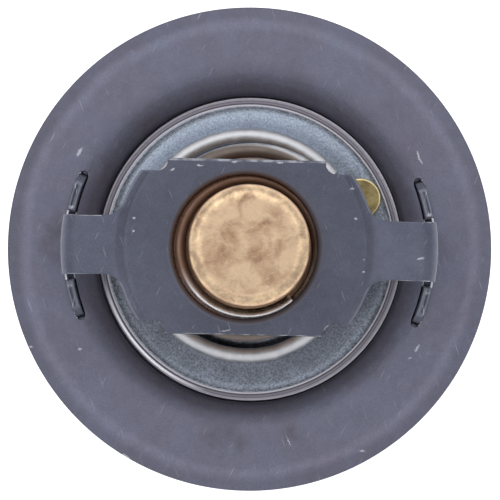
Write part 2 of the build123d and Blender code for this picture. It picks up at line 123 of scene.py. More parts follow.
# spring yoke: one steel pressing
YOKE_T = 1.2
YOKE_TOP_Z = FACE_Z + 22.0
YOKE_DISH = 0.35           # how far the middle is dished
YOKE_FACE_Z = YOKE_TOP_Z - YOKE_DISH
YOKE_DISH_R = 16.7         # middle of the dish's ramp
YOKE_RAMP_W = 1.1
YOKE_RAMP_BEND_R = 0.9     # at mid-sheet
YOKE_HOLE_R = 9.45
COLLAR_LIP_Z = YOKE_FACE_Z - 2.8               # lower end of the drawn collar round the hole
YOKE_COLLAR_BEND_R = 0.35  # at mid-sheet
YOKE_HALF_W = 11.65
YOKE_EDGE_HALF = 10.5      # half the length of a turned-down edge
YOKE_EDGE_DEPTH = 2.6
YOKE_EDGE_BEND_R = 0.15
YOKE_CUT_R = 0.1           # rounding of its sheared edges
YOKE_SHOULDER_Y = 9.95     # where the blank steps in from the turned-down edge to the wing
YOKE_WING_R = 17.15
YOKE_NOTCH_R = 1.4
YOKE_WING_CORNER_R = 0.5
YOKE_ARM_ROOT_R = 2.8
YOKE_ARM_HALF_W = 3.97
YOKE_ARM_END_R = 25.0      # how far the arms reach before they turn down
YOKE_ARM_BEND_R = 1.6      # at mid-sheet, as the next two are
YOKE_LEG_BEND_R = 6.0
YOKE_FOOT_BEND_R = 0.8
YOKE_LEG_STRAIGHT_H = 0.8  # above the flange, where the sloping arm's line meets the upright leg
YOKE_FOOT_R = 28.2
YOKE_SHIFT = Vector((-0.03, -0.08, 0.0))
YOKE_FORM_SHIFT = Vector((-0.55, 0.1, 0.0))    # the dish and the hole lie a little off the blank's middle
YOKE_FORM_FADE = (17.5, 21.5)                  # radii between which that shift fades out
COLLAR_SLANT = Vector((0.2, -0.1, 0.0))        # how far the collar's lip is drawn to one side

# outlet bridge: one steel pressing, with a socket for the piston and two staked tips a side
BRIDGE_T = 1.18
BRIDGE_SHOULDER_HALF = 11.6
BRIDGE_SHOULDER_X = 19.5
BRIDGE_WAIST_HALF = 6.4
BRIDGE_WAIST_X = 8.0
BRIDGE_SIDE_R = 6.0
BRIDGE_KNEE_Z = FACE_Z - 9.5
BRIDGE_KNEE_R = 4.0
BRIDGE_CROWN_R = 7.6
BRIDGE_CROWN_Z = FACE_Z - 18.6
BRIDGE_CROWN_BEND_R = 3.0
SOCKET_DEPTH = 1.9
SOCKET_R = 2.57
SOCKET_BEND_R = 0.8
TIP_HALF = 9.8             # outer side of a tip
TIP_RISE = 1.15            # how far the tips stand above the flange
TIP_CHAMFER = (1.3, 1.1)   # along and across the tip
TIP_GROOVE_DEPTH = 0.35
TIP_GROOVE_END = 8.5
NOTCH_HALF = 4.7           # half the notch between the two tips, where the yoke's foot lies
NOTCH_CLEAR = 0.6          # below the yoke's foot

# wax cup: drawn brass, crimped over the guide
CUP_R = 8.0
CUP_WALL = 0.9
CUP_END_Z = FACE_Z + 30.0
CUP_EDGE_R = 1.0           # bend of the end, at mid-wall, as the next two are
CUP_FOOT_BEND_R = 0.75
COLLAR_BEND_R = 0.5
COLLAR_R = 10.0            # the wide collar round the guide's flange
COLLAR_H = 3.84
CRIMP_IN_R = 8.3
CRIMP_Z = DISC_FLOOR_Z + HUB_RISE + SEAT_GAP
CUP_SHOULDER_Z = CRIMP_Z + COLLAR_H
CUP_LEAN = Vector((-0.05, 0.2, 0.0))           # the element stands a little out of true

# jiggle pin: the loose vent pin in the disc
PIN_AT_R = 16.95
PIN_ANGLE = 25.7           # degrees from the X axis
PIN_HEAD_R = 2.85
PIN_HEAD_T = 0.8
PIN_HEAD_EDGE = 0.2
PIN_HEAD_LIFT = 0.05       # the loose head stands this far off the disc
PIN_HOLE_R = 1.6
PIN_SHANK_R = 1.0
PIN_END_R = 0.3
PIN_TRAVEL = 0.7
STOP_GAP = 0.1             # left above the pin's weight at the end of its travel
PIN_WEIGHT_H = 3.4
PIN_TAIL = 0.4             # peened end below the weight


# ---------------------------------------------------------------- outlines
def arc(centre, radius, start, end, step):
    """Points along an arc, from start to end in degrees, at most step degrees apart."""
    count = max(2, math.ceil(abs(end - start) / step))
    angles = [math.radians(start + (end - start) * i / count) for i in range(count + 1)]
    return [(centre[0] + radius * math.cos(a), centre[1] + radius * math.sin(a)) for a in angles]


def between(value, low, high):
    """How far a value has come from low to high, from 0 to 1."""
    return min(1.0, max(0.0, (value - low) / (high - low)))


def bent_line(points, radii):
    """A sheet's mid-line: its corners become arcs. Each point comes with the sheet's left-hand normal."""
    first = (Vector(points[1]) - Vector(points[0])).normalized()
    line = [(Vector(points[0]), Vector((-first.y, first.x)))]
    for before, corner, after, radius in zip(points, points[1:], points[2:], radii):
        corner = Vector(corner)
        back = (Vector(before) - corner).normalized()
        on = (Vector(after) - corner).normalized()
        half = back.angle(on) / 2
        centre = corner + (back + on).normalized() * radius / math.sin(half)
        start = (corner + back * radius / math.tan(half) - centre) / radius
        end = (corner + on * radius / math.tan(half) - centre) / radius
        turn = math.atan2(start.x * end.y - start.y * end.x, start.dot(end))
        side = -1.0 if turn > 0 else 1.0
        count = max(2, math.ceil(abs(math.degrees(turn)) / BEND_STEP))
        for i in range(count + 1):
            cos, sin = math.cos(turn * i / count), math.sin(turn * i / count)
            out = Vector((cos * start.x - sin * start.y, sin * start.x + cos * start.y))
            line.append((centre + out * radius, out * side))
    last = (Vector(points[-1]) - Vector(points[-2])).normalized()
    return line + [(Vector(points[-1]), Vector((-last.y, last.x)))]


# the steps of a rounded edge
QUARTER = [math.radians(a) for a in (0, 22.5, 45, 67.5, 90)]


def sheet_loop(points, radii, thickness, edge):
    """The closed outline of a bent sheet's section, from its mid-line, with its ends' edges rounded."""
    line = bent_line(points, radii)
    half = thickness / 2
    loop = [p + n * half for p, n in line[1:-1]]
    (end, end_n), (start, start_n) = line[-1], line[0]
    end_t = Vector((end_n.y, -end_n.x))
    start_t = Vector((start_n.y, -start_n.x))
    for side, angles in ((1, QUARTER), (-1, QUARTER[::-1])):
        for a in angles:
            across = side * end_n * (half - edge + edge * math.cos(a))
            loop.append(end + across + end_t * edge * (math.sin(a) - 1))
    loop += [p - n * half for p, n in line[-2:0:-1]]
    for side, angles in ((-1, QUARTER), (1, QUARTER[::-1])):
        for a in angles:
            across = side * start_n * (half - edge + edge * math.cos(a))
            loop.append(start + across - start_t * edge * (math.sin(a) - 1))
    return loop


# ---------------------------------------------------------------- meshes
def new_piece(name, bm):
    """A smooth-shaded piece from built faces, with shared corners merged and its normals outwards."""
    bmesh.ops.remove_doubles(bm, verts=bm.verts, dist=1e-7)
    bmesh.ops.recalc_face_normals(bm, faces=bm.faces)
    mesh = bpy.data.meshes.new(name)
    bm.to_mesh(mesh)
    bm.free()
    mesh.polygons.foreach_set("use_smooth", [True] * len(mesh.polygons))
    piece = bpy.data.objects.new(name, mesh)
    bpy.context.collection.objects.link(piece)
    return piece


def lathe(name, loop, steps):
    """A turned or drawn piece, spun about Z from a closed outline of radii and heights."""
    bm = bmesh.new()
    turns = [2 * math.pi * i / steps for i in range(steps)]
    rings = [[bm.verts.new((r * math.cos(a) * MM, r * math.sin(a) * MM, z * MM)) for a in turns]
             for r, z in loop]
    for low, high in zip(rings, rings[1:] + rings[:1]):
        for i in range(steps):
            j = (i + 1) % steps
            bm.faces.new((low[i], low[j], high[j], high[i]))
    return new_piece(name, bm)


def baked(piece):
    """The piece with its modifiers applied."""
    view = bpy.context.evaluated_depsgraph_get()
    mesh = bpy.data.meshes.new_from_object(piece.evaluated_get(view))
    piece.modifiers.clear()
    piece.data = mesh
    return piece


def drilled(piece, outline, reach):
    """The piece with a hole cut through it, from reach millimetres below the origin to as far above."""
    bm = bmesh.new()
    floor = bm.faces.new([bm.verts.new((x * MM, y * MM, -reach * MM)) for x, y in outline])
    raised = bmesh.ops.extrude_face_region(bm, geom=[floor])["geom"]
    lifted = [v for v in raised if isinstance(v, bmesh.types.BMVert)]
    bmesh.ops.translate(bm, verts=lifted, vec=(0, 0, 2 * reach * MM))
    drill = new_piece("drill", bm)
    hole = piece.modifiers.new("hole", "BOOLEAN")
    hole.operation = "DIFFERENCE"
    hole.solver = "EXACT"
    hole.object = drill
    baked(piece)
    bpy.data.objects.remove(drill)
    return piece


def edged(piece, width):
    """Rounds the sharp edges that punching leaves, and keeps flat faces flat."""
    flat = piece.modifiers.new("flat", "DECIMATE")
    flat.decimate_type = "DISSOLVE"
    flat.angle_limit = math.radians(0.4)
    bevel = piece.modifiers.new("edge", "BEVEL")
    bevel.width = width * MM
    bevel.segments = 3
    bevel.limit_method = "ANGLE"
    bevel.angle_limit = math.radians(40.0)
    bevel.use_clamp_overlap = False
    baked(piece)
    return evened(piece)


def evened(piece):
    """Shades level faces flat and everything between them smooth."""
    level = [abs(face.normal.z) > 0.99998 for face in piece.data.polygons]
    piece.data.polygons.foreach_set("use_smooth", [not flat for flat in level])
    normals = piece.modifiers.new("normals", "WEIGHTED_NORMAL")
    normals.weight = 90
    return baked(piece)


class Blank:
    """A sheet blank laid out flat, and where each of its points goes when it is drawn round Z.

    The flat layout keeps each point's direction from the axis. Its radius there, its reach, is the
    distance along the bent mid-line, counted on from start at the mid-line's inner end."""

    def __init__(self, points, radii, start):
        self.line = bent_line(points, radii)
        self.reach = [0.0]
        for (a, _), (b, _) in zip(self.line, self.line[1:]):
            self.reach.append(self.reach[-1] + (b - a).length)
        self.reach = [s + start for s in self.reach]

    def at(self, s):
        """Radius and height, and the normal, of the mid-line at a distance along it."""
        last = len(self.reach) - 2
        k = min(last, max(0, bisect.bisect_right(self.reach, s) - 1))
        span = self.reach[k + 1] - self.reach[k]
        share = (s - self.reach[k]) / span if span else 0.0
        (p, n), (q, m) = self.line[k], self.line[k + 1]
        return p.lerp(q, share), n.lerp(m, share).normalized()

    def flat(self, s, y):
        """The flat place of a point that ends up y millimetres to the side of the X axis."""
        radius = self.at(s)[0].x
        turn = math.asin(max(-1.0, min(1.0, y / radius))) if radius > 1e-6 else 0.0
        return (s * math.cos(turn), s * math.sin(turn))

    def along(self, radius):
        """The distance along the mid-line at which it first comes to a radius."""
        for (a, _), (b, _), s, e in zip(self.line, self.line[1:], self.reach, self.reach[1:]):
            if a.x <= radius <= b.x and b.x > a.x:
                return s + (e - s) * (radius - a.x) / (b.x - a.x)
        raise ValueError(f"the mid-line doesn't reach {radius}")

    def formed(self, u, v):
        """Where a flat point ends up in space, and its normal there."""
        place, normal = self.at(math.hypot(u, v))
        turn = math.atan2(v, u)
        out = Vector((math.cos(turn), math.sin(turn), 0.0))
        return out * place.x + Vector((0, 0, place.y)), out * normal.x + Vector((0, 0, normal.y))


def even_rows(blank, spans):
    """Circles on the flat blank, one for each point of its mid-line, as runs of points.

    Each span is a range of reach and the directions, in degrees, between which the circles run."""
    return [arc((0, 0), s, start, end, 2.0) for low, high, start, end in spans
            for s in blank.reach if low <= s <= high]


def filled(outline, holes, runs):
    """The area inside the outline and outside the holes, cut into faces along the runs."""
    points, lines, rims = [], [], []
    for closed, run in [(True, outline)] + [(True, h) for h in holes] + [(False, r) for r in runs]:
        first = len(points)
        points += [Vector(p) for p in run]
        count = len(run)
        lines += [(first + i, first + i + 1) for i in range(count - 1)]
        if closed:
            lines.append((first + count - 1, first))
            rims.append(list(range(first, first + count)))
    result = geometry.delaunay_2d_cdt(points, lines, rims, 0, 1e-4)
    faces = [f for f, sources in zip(result[2], result[5]) if list(sources) == [0]]
    return [tuple(p) for p in result[0]], faces


def rim_loops(faces):
    """The borders of a set of faces, each as an ordered list of points with the faces on its left."""
    used = {(f[i], f[(i + 1) % len(f)]) for f in faces for i in range(len(f))}
    following = {a: b for a, b in used if (b, a) not in used}
    loops = []
    while following:
        first, current = following.popitem()
        loop = [first]
        while current != first:
            loop.append(current)
            current = following.pop(current)
        loops.append(loop)
    return loops


def corner_offset(out_a, edge_a, out_b, edge_b):
    """The shift that moves a corner outwards by one amount past each of its two sides."""
    if out_a.cross(out_b).length < 0.3:       # two sides almost in line
        mean = (out_a + out_b).normalized()
        return mean * (edge_a + edge_b) / 2 / max(0.8, mean.dot(out_a))
    dot = out_a.dot(out_b)
    a = (edge_a - edge_b * dot) / (1 - dot * dot)
    b = (edge_b - edge_a * dot) / (1 - dot * dot)
    return out_a * a + out_b * b


def pressing(name, blank, outline, holes, runs, thickness, edges, dents=lambda u, v: 0.0):
    """A sheet pressing with rounded sheared edges.

    The outline is the border of the upper face, short of the edge's rounding. edges gives the
    rounding above and below at a flat place, and dents how deep the edge is struck in there."""
    places, faces = filled(outline, holes, runs)
    kept = sorted({i for f in faces for i in f})
    half = thickness / 2
    bm = bmesh.new()
    formed = {i: blank.formed(*places[i]) for i in kept}
    upper = {i: bm.verts.new((p + n * half) * MM) for i, (p, n) in formed.items()}
    lower = {i: bm.verts.new((p - n * half) * MM) for i, (p, n) in formed.items()}
    for face in faces:
        bm.faces.new([upper[i] for i in face])
        bm.faces.new([lower[i] for i in reversed(face)])
    for loop in rim_loops(faces):
        rows = []
        for before, i, after in zip(loop[-1:] + loop[:-1], loop, loop[1:] + loop[:1]):
            p, n = formed[i]
            out_a = (p - formed[before][0]).cross(n).normalized()
            out_b = (formed[after][0] - p).cross(n).normalized()
            half_a = [(a + b) / 2 for a, b in zip(places[before], places[i])]
            half_b = [(a + b) / 2 for a, b in zip(places[i], places[after])]
            (top_a, low_a), (top_b, low_b) = edges(*half_a), edges(*half_b)
            top, low = max(top_a, top_b), max(low_a, low_b)
            out_top = corner_offset(out_a, top_a, out_b, top_b)
            out_low = corner_offset(out_a, low_a, out_b, low_b)
            struck = dents(*places[i]) * (out_a + out_b).normalized()
            row = [upper[i]]
            for a in QUARTER[1:]:
                row.append(p + out_top * math.sin(a) + n * (half - top * (1 - math.cos(a))))
            for height, share in ((0.3, 0.0), (0.0, 1.0), (-0.3, 0.0)):
                row.append(p + out_top - struck * share + n * height * (half - top))
            for a in QUARTER[:0:-1]:
                row.append(p + out_top - out_low * (1 - math.sin(a)) - n * (half - low * (1 - math.cos(a))))
            lower[i].co = (p + out_top - out_low - n * half) * MM
            rows.append(row[:1] + [bm.verts.new(q * MM) for q in row[1:]] + [lower[i]])
        for first, second in zip(rows, rows[1:] + rows[:1]):
            for k in range(len(first) - 1):
                bm.faces.new((first[k], first[k + 1], second[k + 1], second[k]))
    return evened(new_piece(name, bm))


def joined(pieces, name):
    """Several pieces as one."""
    bm = bmesh.new()
    for piece in pieces:
        bm.from_mesh(piece.data)
    mesh = bpy.data.meshes.new(name)
    bm.to_mesh(mesh)
    bm.free()
    for piece in pieces:
        bpy.data.objects.remove(piece)
    whole = bpy.data.objects.new(name, mesh)
    bpy.context.collection.objects.link(whole)
    return whole


def moved(piece, offset):
    """The piece shifted by an offset in millimetres."""
    for vertex in piece.data.vertices:
        vertex.co += Vector(offset) * MM
    return piece


# ---------------------------------------------------------------- materials
def linear(colour):
    """A colour written as #rrggbb, as the linear values that shaders take."""
    parts = [int(colour[i:i + 2], 16) / 255 for i in (1, 3, 5)]
    return [p / 12.92 if p <= 0.04045 else ((p + 0.055) / 1.055) ** 2.4 for p in parts] + [1.0]


def add(tree, kind, inputs=None, output=0, **settings):
    """Adds a shader node, with its settings and with values or links for its sockets; gives one output.

    Sockets go by name or number. A Math node takes its values at 0, 1 and 2. A MapRange takes its
    value at 0, the range it comes from at 1 and 2, and the range it goes to at 3 and 4, which is else
    0 to 1. A Mix of colours takes its share at 0 and its two colours at 6 and 7, and gives output 2."""
    node = tree.nodes.new("ShaderNode" + kind)
    for key, value in settings.items():
        setattr(node, key, value)
    for key, value in (inputs or {}).items():
        if isinstance(value, bpy.types.NodeSocket):
            tree.links.new(value, node.inputs[key])
        else:
            node.inputs[key].default_value = value
    return node.outputs[output]


def per_mm(size):
    """The texture scale at which one feature is size millimetres wide."""
    return 1.0 / (size * MM)


def new_material(name, **values):
    """A material with one surface shader; its plain values are set on the shader's own sockets."""
    material = bpy.data.materials.new(name)
    material.use_nodes = True
    tree = material.node_tree
    shader = tree.nodes["Principled BSDF"]
    for key, value in values.items():
        shader.inputs[key.replace("_", " ")].default_value = value
    return material, tree, shader, add(tree, "TexCoord", output="Object")


def finish(tree, shader, colour, roughness, height, depth):
    """Joins a finish to its shader. A height of 0 to 1 raises the surface by up to depth millimetres."""
    tree.links.new(colour, shader.inputs["Base Color"])
    tree.links.new(roughness, shader.inputs["Roughness"])
    bump = add(tree, "Bump", {"Height": height, "Distance": depth * MM})
    tree.links.new(bump, shader.inputs["Normal"])


def axis_distance(tree, place):
    """How far a point lies from the valve's axis, in metres."""
    level = add(tree, "VectorMath", {0: place, 1: (1, 1, 0)}, operation="MULTIPLY")
    return add(tree, "VectorMath", {0: level}, output="Value", operation="LENGTH")


def side_mask(tree, place, direction, start, end, low=0.0, high=1.0):
    """A mask that goes from low to high across the part, from start to end in millimetres along a
    direction."""
    along = add(tree, "VectorMath", {0: place, 1: direction}, output="Value", operation="DOT_PRODUCT")
    return add(tree, "MapRange", {0: along, 1: start * MM, 2: end * MM, 3: low, 4: high})


def scratches(tree, place, length, share, turn):
    """Fine straight scratches, length millimetres long, that all run one way, as a mask. A larger share
    gives more of them."""
    width = 0.24
    laid = add(tree, "Mapping", {"Vector": place, "Rotation": (0.0, 0.0, math.radians(turn)),
                                 "Scale": (2 * length / width, 1.0, 1000.0)}, vector_type="TEXTURE")
    streaks = add(tree, "TexNoise", {"Vector": laid, "Scale": per_mm(width), "Detail": 1.0})
    return add(tree, "MapRange", {0: streaks, 1: 0.82 - 0.3 * share, 2: 0.9 - 0.3 * share})


def chips(tree, place, spots):
    """Bare chips and nicks in a coat, with ragged edges, as a mask. Each spot is x, y, half its length
    and half its width in millimetres, and its turn in degrees."""
    ragged = add(tree, "TexNoise", {"Vector": place, "Scale": per_mm(0.35), "Detail": 3.0}, output="Color")
    shove = add(tree, "VectorMath", {0: ragged, 1: (0.5 * MM, 0.5 * MM, 0), 2: (-0.25 * MM, -0.25 * MM, 0)},
                operation="MULTIPLY_ADD")
    shoved = add(tree, "VectorMath", {0: place, 1: shove}, operation="ADD")
    level = add(tree, "VectorMath", {0: shoved, 1: (1, 1, 0)}, operation="MULTIPLY")
    mask = None
    for x, y, half_length, half_width, turn in spots:
        laid = add(tree, "Mapping", {"Vector": level, "Location": (x * MM, y * MM, 0.0),
                                     "Rotation": (0.0, 0.0, math.radians(turn)),
                                     "Scale": (half_length * MM, half_width * MM, 1.0)},
                   vector_type="TEXTURE")
        away = add(tree, "VectorMath", {0: laid}, output="Value", operation="LENGTH")
        spot = add(tree, "MapRange", {0: away, 1: 0.5, 2: 1.0, 3: 1.0, 4: 0.0})
        mask = spot if mask is None else add(tree, "Math", {0: mask, 1: spot}, operation="MAXIMUM")
    return mask


def phosphated_steel(name, dark, light, roughness, spots):
    """Pressed steel with a zinc phosphate coat: fine grey crystals, dull, clouded by handling, with
    fine scratches and small bright chips where the coat is gone. Gives its colour to be worked on."""
    material, tree, shader, place = new_material(name, Metallic=0.85)
    clouds = add(tree, "TexNoise", {"Vector": place, "Scale": per_mm(8.0), "Detail": 3.0, "Roughness": 0.6})
    smears = add(tree, "TexNoise", {"Vector": place, "Scale": per_mm(1.6), "Detail": 3.0, "Roughness": 0.65,
                                    "Distortion": 0.6})
    # real crystals are about 0.02 mm across; these are drawn ten times as coarse, so that they show
    crystals = add(tree, "TexNoise", {"Vector": place, "Scale": per_mm(0.22), "Detail": 2.0,
                                      "Roughness": 0.7})
    cloud = add(tree, "MapRange", {0: clouds, 1: 0.35, 2: 0.65})
    tint = add(tree, "Mix", {0: cloud, 6: linear(dark), 7: linear(light)}, 2, data_type="RGBA")
    smear = add(tree, "MapRange", {0: smears, 1: 0.3, 2: 0.7, 3: 0.93, 4: 1.07})
    speckle = add(tree, "MapRange", {0: crystals, 1: 0.3, 2: 0.7, 3: 0.84, 4: 1.16})
    shade = add(tree, "Math", {0: smear, 1: speckle}, operation="MULTIPLY")
    tint = add(tree, "Mix", {0: 1.0, 6: tint, 7: shade}, 2, data_type="RGBA", blend_type="MULTIPLY")
    scratch = add(tree, "Math", {0: scratches(tree, place, 1.5, 0.35, 65.0),
                                 1: scratches(tree, place, 2.0, 0.35, 110.0)}, operation="MAXIMUM")
    faint = add(tree, "Math", {0: scratch, 1: 0.2}, operation="MULTIPLY")
    chip = add(tree, "Math", {0: chips(tree, place, spots), 1: 0.5}, operation="MULTIPLY")
    bare = add(tree, "Math", {0: faint, 1: chip}, operation="MAXIMUM")
    rough = add(tree, "MapRange", {0: crystals, 1: 0.3, 2: 0.7, 3: roughness - 0.06, 4: roughness + 0.06})
    height = add(tree, "Math", {0: crystals, 1: bare}, operation="SUBTRACT")
    return material, tree, shader, place, tint, bare, rough, height


def finish_coat(tree, shader, tint, bare, rough, height):
    """Joins a phosphate coat to its shader, with bright steel where the coat is gone."""
    colour = add(tree, "Mix", {0: bare, 6: tint, 7: linear("#d9dadf")}, 2, data_type="RGBA")
    finish(tree, shader, colour, rough, height, 0.012)


def flange_coat():
    """The flange's coat: a paler rim bend, part wear and part painted highlight, painted shade past it, brown
    storage stains.
    """
    spots = [(-23.85, 12.9, 0.9, 0.25, 60), (23.1, 13.5, 0.8, 0.16, 110), (23.4, 12.7, 0.6, 0.15, 125),
             (23.5, -13.2, 0.7, 0.22, 60), (22.5, -14.6, 0.4, 0.14, 30), (-23.15, -14.35, 0.3, 0.22, 0),
             (19.25, 27.97, 0.4, 0.2, -35), (28.9, 17.5, 0.9, 0.3, -60), (33.1, 6.4, 0.6, 0.25, 80),
             (31.2, -12.6, 0.35, 0.2, 0), (-29.94, -14.2, 0.3, 0.2, 0), (-16.5, -29.1, 0.8, 0.3, -30),
             (14.8, 12.3, 0.5, 0.1, 20), (6.0, -26.5, 0.9, 0.08, 120), (16.2, -27.6, 0.5, 0.12, 0)]
    material, tree, shader, place, tint, bare, rough, height = phosphated_steel(
        "zinc_phosphated_steel_flange", "#6b6876", "#6d6e7e", 0.5, spots)
    radius = axis_distance(tree, place)
    # a pale band along the rim's bend: partly wear, partly a painted highlight
    waver = add(tree, "TexNoise", {"Vector": place, "Scale": per_mm(12.0), "Detail": 2.0})
    waved = add(tree, "Math", {0: waver, 1: 1.2 * MM, 2: radius}, operation="MULTIPLY_ADD")
    rise = add(tree, "MapRange", {0: waved, 1: 30.6 * MM, 2: 31.4 * MM})
    fall = add(tree, "MapRange", {0: waved, 1: 31.9 * MM, 2: 32.9 * MM})
    pale_edge = add(tree, "Math", {0: rise, 1: fall}, operation="SUBTRACT")
    band = add(tree, "Math", {0: pale_edge, 1: 0.17, 2: 1.0}, operation="MULTIPLY_ADD")
    # painted shade on the rim's outer slope, all round and deepest towards -X and +Y
    painted_rim_shade = side_mask(tree, place, (-0.9, 0.43, 0.0), 8.0, 28.0, -0.07, -0.17)
    band = add(tree, "Math", {0: fall, 1: painted_rim_shade, 2: band}, operation="MULTIPLY_ADD")
    tint = add(tree, "Mix", {0: 1.0, 6: tint, 7: band}, 2, data_type="RGBA", blend_type="MULTIPLY")
    stains = [(-27.4, 1.3, 2.5, 4.5, 0), (-2.8, -26.5, 4.5, 3.0, 0), (7.5, -24.9, 3.0, 2.0, 20)]
    patchy = add(tree, "TexNoise", {"Vector": place, "Scale": per_mm(2.5), "Detail": 3.0})
    patchy = add(tree, "MapRange", {0: patchy, 1: 0.4, 2: 0.7, 3: 0.0, 4: 0.55})
    stain = add(tree, "Math", {0: chips(tree, place, stains), 1: patchy}, operation="MULTIPLY")
    tint = add(tree, "Mix", {0: stain, 6: tint, 7: linear("#534b50")}, 2, data_type="RGBA")
    finish_coat(tree, shader, tint, bare, rough, height)
    return material


def yoke_coat():
    """The yoke's coat, with painted shade in the dish, and painted light and a brass reflection in the
    collar.
    """
    spots = [(-15.35, 3.57, 0.24, 0.16, 0), (-15.45, 1.84, 0.18, 0.14, 0), (13.38, 8.03, 0.4, 0.14, 10),
             (13.99, 4.07, 0.3, 0.16, 0), (15.17, -1.32, 0.16, 0.14, 0), (15.2, -2.91, 0.18, 0.14, 0),
             (22.6, -1.0, 0.6, 0.17, 12), (-6.78, 10.7, 0.6, 0.14, 0), (-2.17, 11.3, 0.5, 0.15, 5),
             (3.78, 11.3, 0.6, 0.13, 0), (-3.0, -11.1, 0.8, 0.08, 10), (-10.4, 10.1, 0.35, 0.18, 30)]
    material, tree, shader, place, tint, bare, rough, height = phosphated_steel(
        "zinc_phosphated_steel_yoke", "#575967", "#5f616f", 0.48, spots)
    radius = axis_distance(tree, place)
    # the sheared edges are rubbed bare in patches
    across = add(tree, "SeparateXYZ", {0: place}, output="Y")
    across = add(tree, "Math", {0: across, 1: YOKE_SHIFT.y * MM}, operation="SUBTRACT")
    across = add(tree, "Math", {0: across}, operation="ABSOLUTE")
    arm_edge = add(tree, "Math", {0: across, 1: YOKE_ARM_HALF_W * MM, 2: 0.16 * MM}, operation="COMPARE")
    beyond = add(tree, "Math", {0: radius, 1: 20.0 * MM}, operation="GREATER_THAN")
    arm_edge = add(tree, "Math", {0: arm_edge, 1: beyond}, operation="MULTIPLY")
    side_edge = add(tree, "Math", {0: across, 1: YOKE_HALF_W * MM, 2: 0.26 * MM}, operation="COMPARE")
    edge = add(tree, "Math", {0: arm_edge, 1: side_edge}, operation="MAXIMUM")
    height_up = add(tree, "SeparateXYZ", {0: place}, output="Z")
    on_top = add(tree, "Math", {0: height_up, 1: (YOKE_FACE_Z - 0.2) * MM}, operation="GREATER_THAN")
    edge = add(tree, "Math", {0: edge, 1: on_top}, operation="MULTIPLY")
    patches = add(tree, "TexNoise", {"Vector": place, "Scale": per_mm(1.6), "Detail": 4.0})
    patches = add(tree, "MapRange", {0: patches, 1: 0.42, 2: 0.6, 3: 0.04, 4: 0.4})
    pale_edge = add(tree, "Math", {0: edge, 1: patches}, operation="MULTIPLY")
    bare = add(tree, "Math", {0: bare, 1: pale_edge}, operation="MAXIMUM")
    # painted shade: the dish is darker
    painted_dish_shade = add(tree, "MapRange", {0: radius, 1: 16.0 * MM, 2: 17.2 * MM, 3: 0.86, 4: 1.0})
    tint = add(tree, "Mix", {0: 1.0, 6: tint, 7: painted_dish_shade}, 2, data_type="RGBA", blend_type="MULTIPLY")
    # painted light: the collar's bend is paler, against its shading
    off_hole = add(tree, "VectorMath", {0: place, 1: (YOKE_SHIFT + YOKE_FORM_SHIFT) * MM},
                   operation="SUBTRACT")
    around = axis_distance(tree, off_hole)
    painted_bend_light = add(tree, "MapRange", {0: around, 1: 10.0 * MM, 2: 10.4 * MM, 3: 0.4, 4: 0.0})
    tint = add(tree, "Mix", {0: painted_bend_light, 6: tint, 7: linear("#9c9da9")}, 2, data_type="RGBA")
    # painted reflection: the collar's inner left side is a glossier brown, as the brass cup it faces
    painted_cup_reflection = add(tree, "MapRange", {0: around, 1: 9.6 * MM, 2: 9.95 * MM, 3: 1.0, 4: 0.0})
    left = side_mask(tree, place, (-0.85, 0.5, 0.0), -5.0, 1.0)
    painted_cup_reflection = add(tree, "Math", {0: painted_cup_reflection, 1: left}, operation="MULTIPLY")
    tint = add(tree, "Mix", {0: painted_cup_reflection, 6: tint, 7: linear("#94776a")}, 2, data_type="RGBA")
    gloss = add(tree, "Math", {0: painted_cup_reflection, 1: -0.24, 2: rough}, operation="MULTIPLY_ADD")
    finish_coat(tree, shader, tint, bare, gloss, height)
    return material


def bridge_coat():
    """The bridge's coat: on its chisel-staked tips, small bright spots by the arms, painted highlights, and
    thin bright lines.
    """
    # the first four spots are painted highlights on the tips' corners by the arms; the last four are thin
    # bright lines along the tips
    spots = [(-24.7, 5.3, 0.35, 0.3, 0), (24.7, 5.3, 0.35, 0.3, 0), (-24.7, -5.6, 0.4, 0.3, 0),
             (24.7, -5.6, 0.4, 0.3, 0), (-24.2, 8.0, 1.2, 0.08, 100), (24.2, 8.0, 1.2, 0.08, 80),
             (-24.2, -8.0, 1.2, 0.08, 80), (24.2, -8.0, 1.2, 0.08, 100)]
    material, tree, shader, place, tint, bare, rough, height = phosphated_steel(
        "zinc_phosphated_steel_bridge", "#6b6d7a", "#7a7c88", 0.46, spots)
    height_up = add(tree, "SeparateXYZ", {0: place}, output="Z")
    at_tips = add(tree, "Math", {0: height_up, 1: (FACE_Z - 0.8) * MM}, operation="GREATER_THAN")
    bare = add(tree, "Math", {0: bare, 1: at_tips}, operation="MULTIPLY")
    finish_coat(tree, shader, tint, bare, rough, height)
    return material


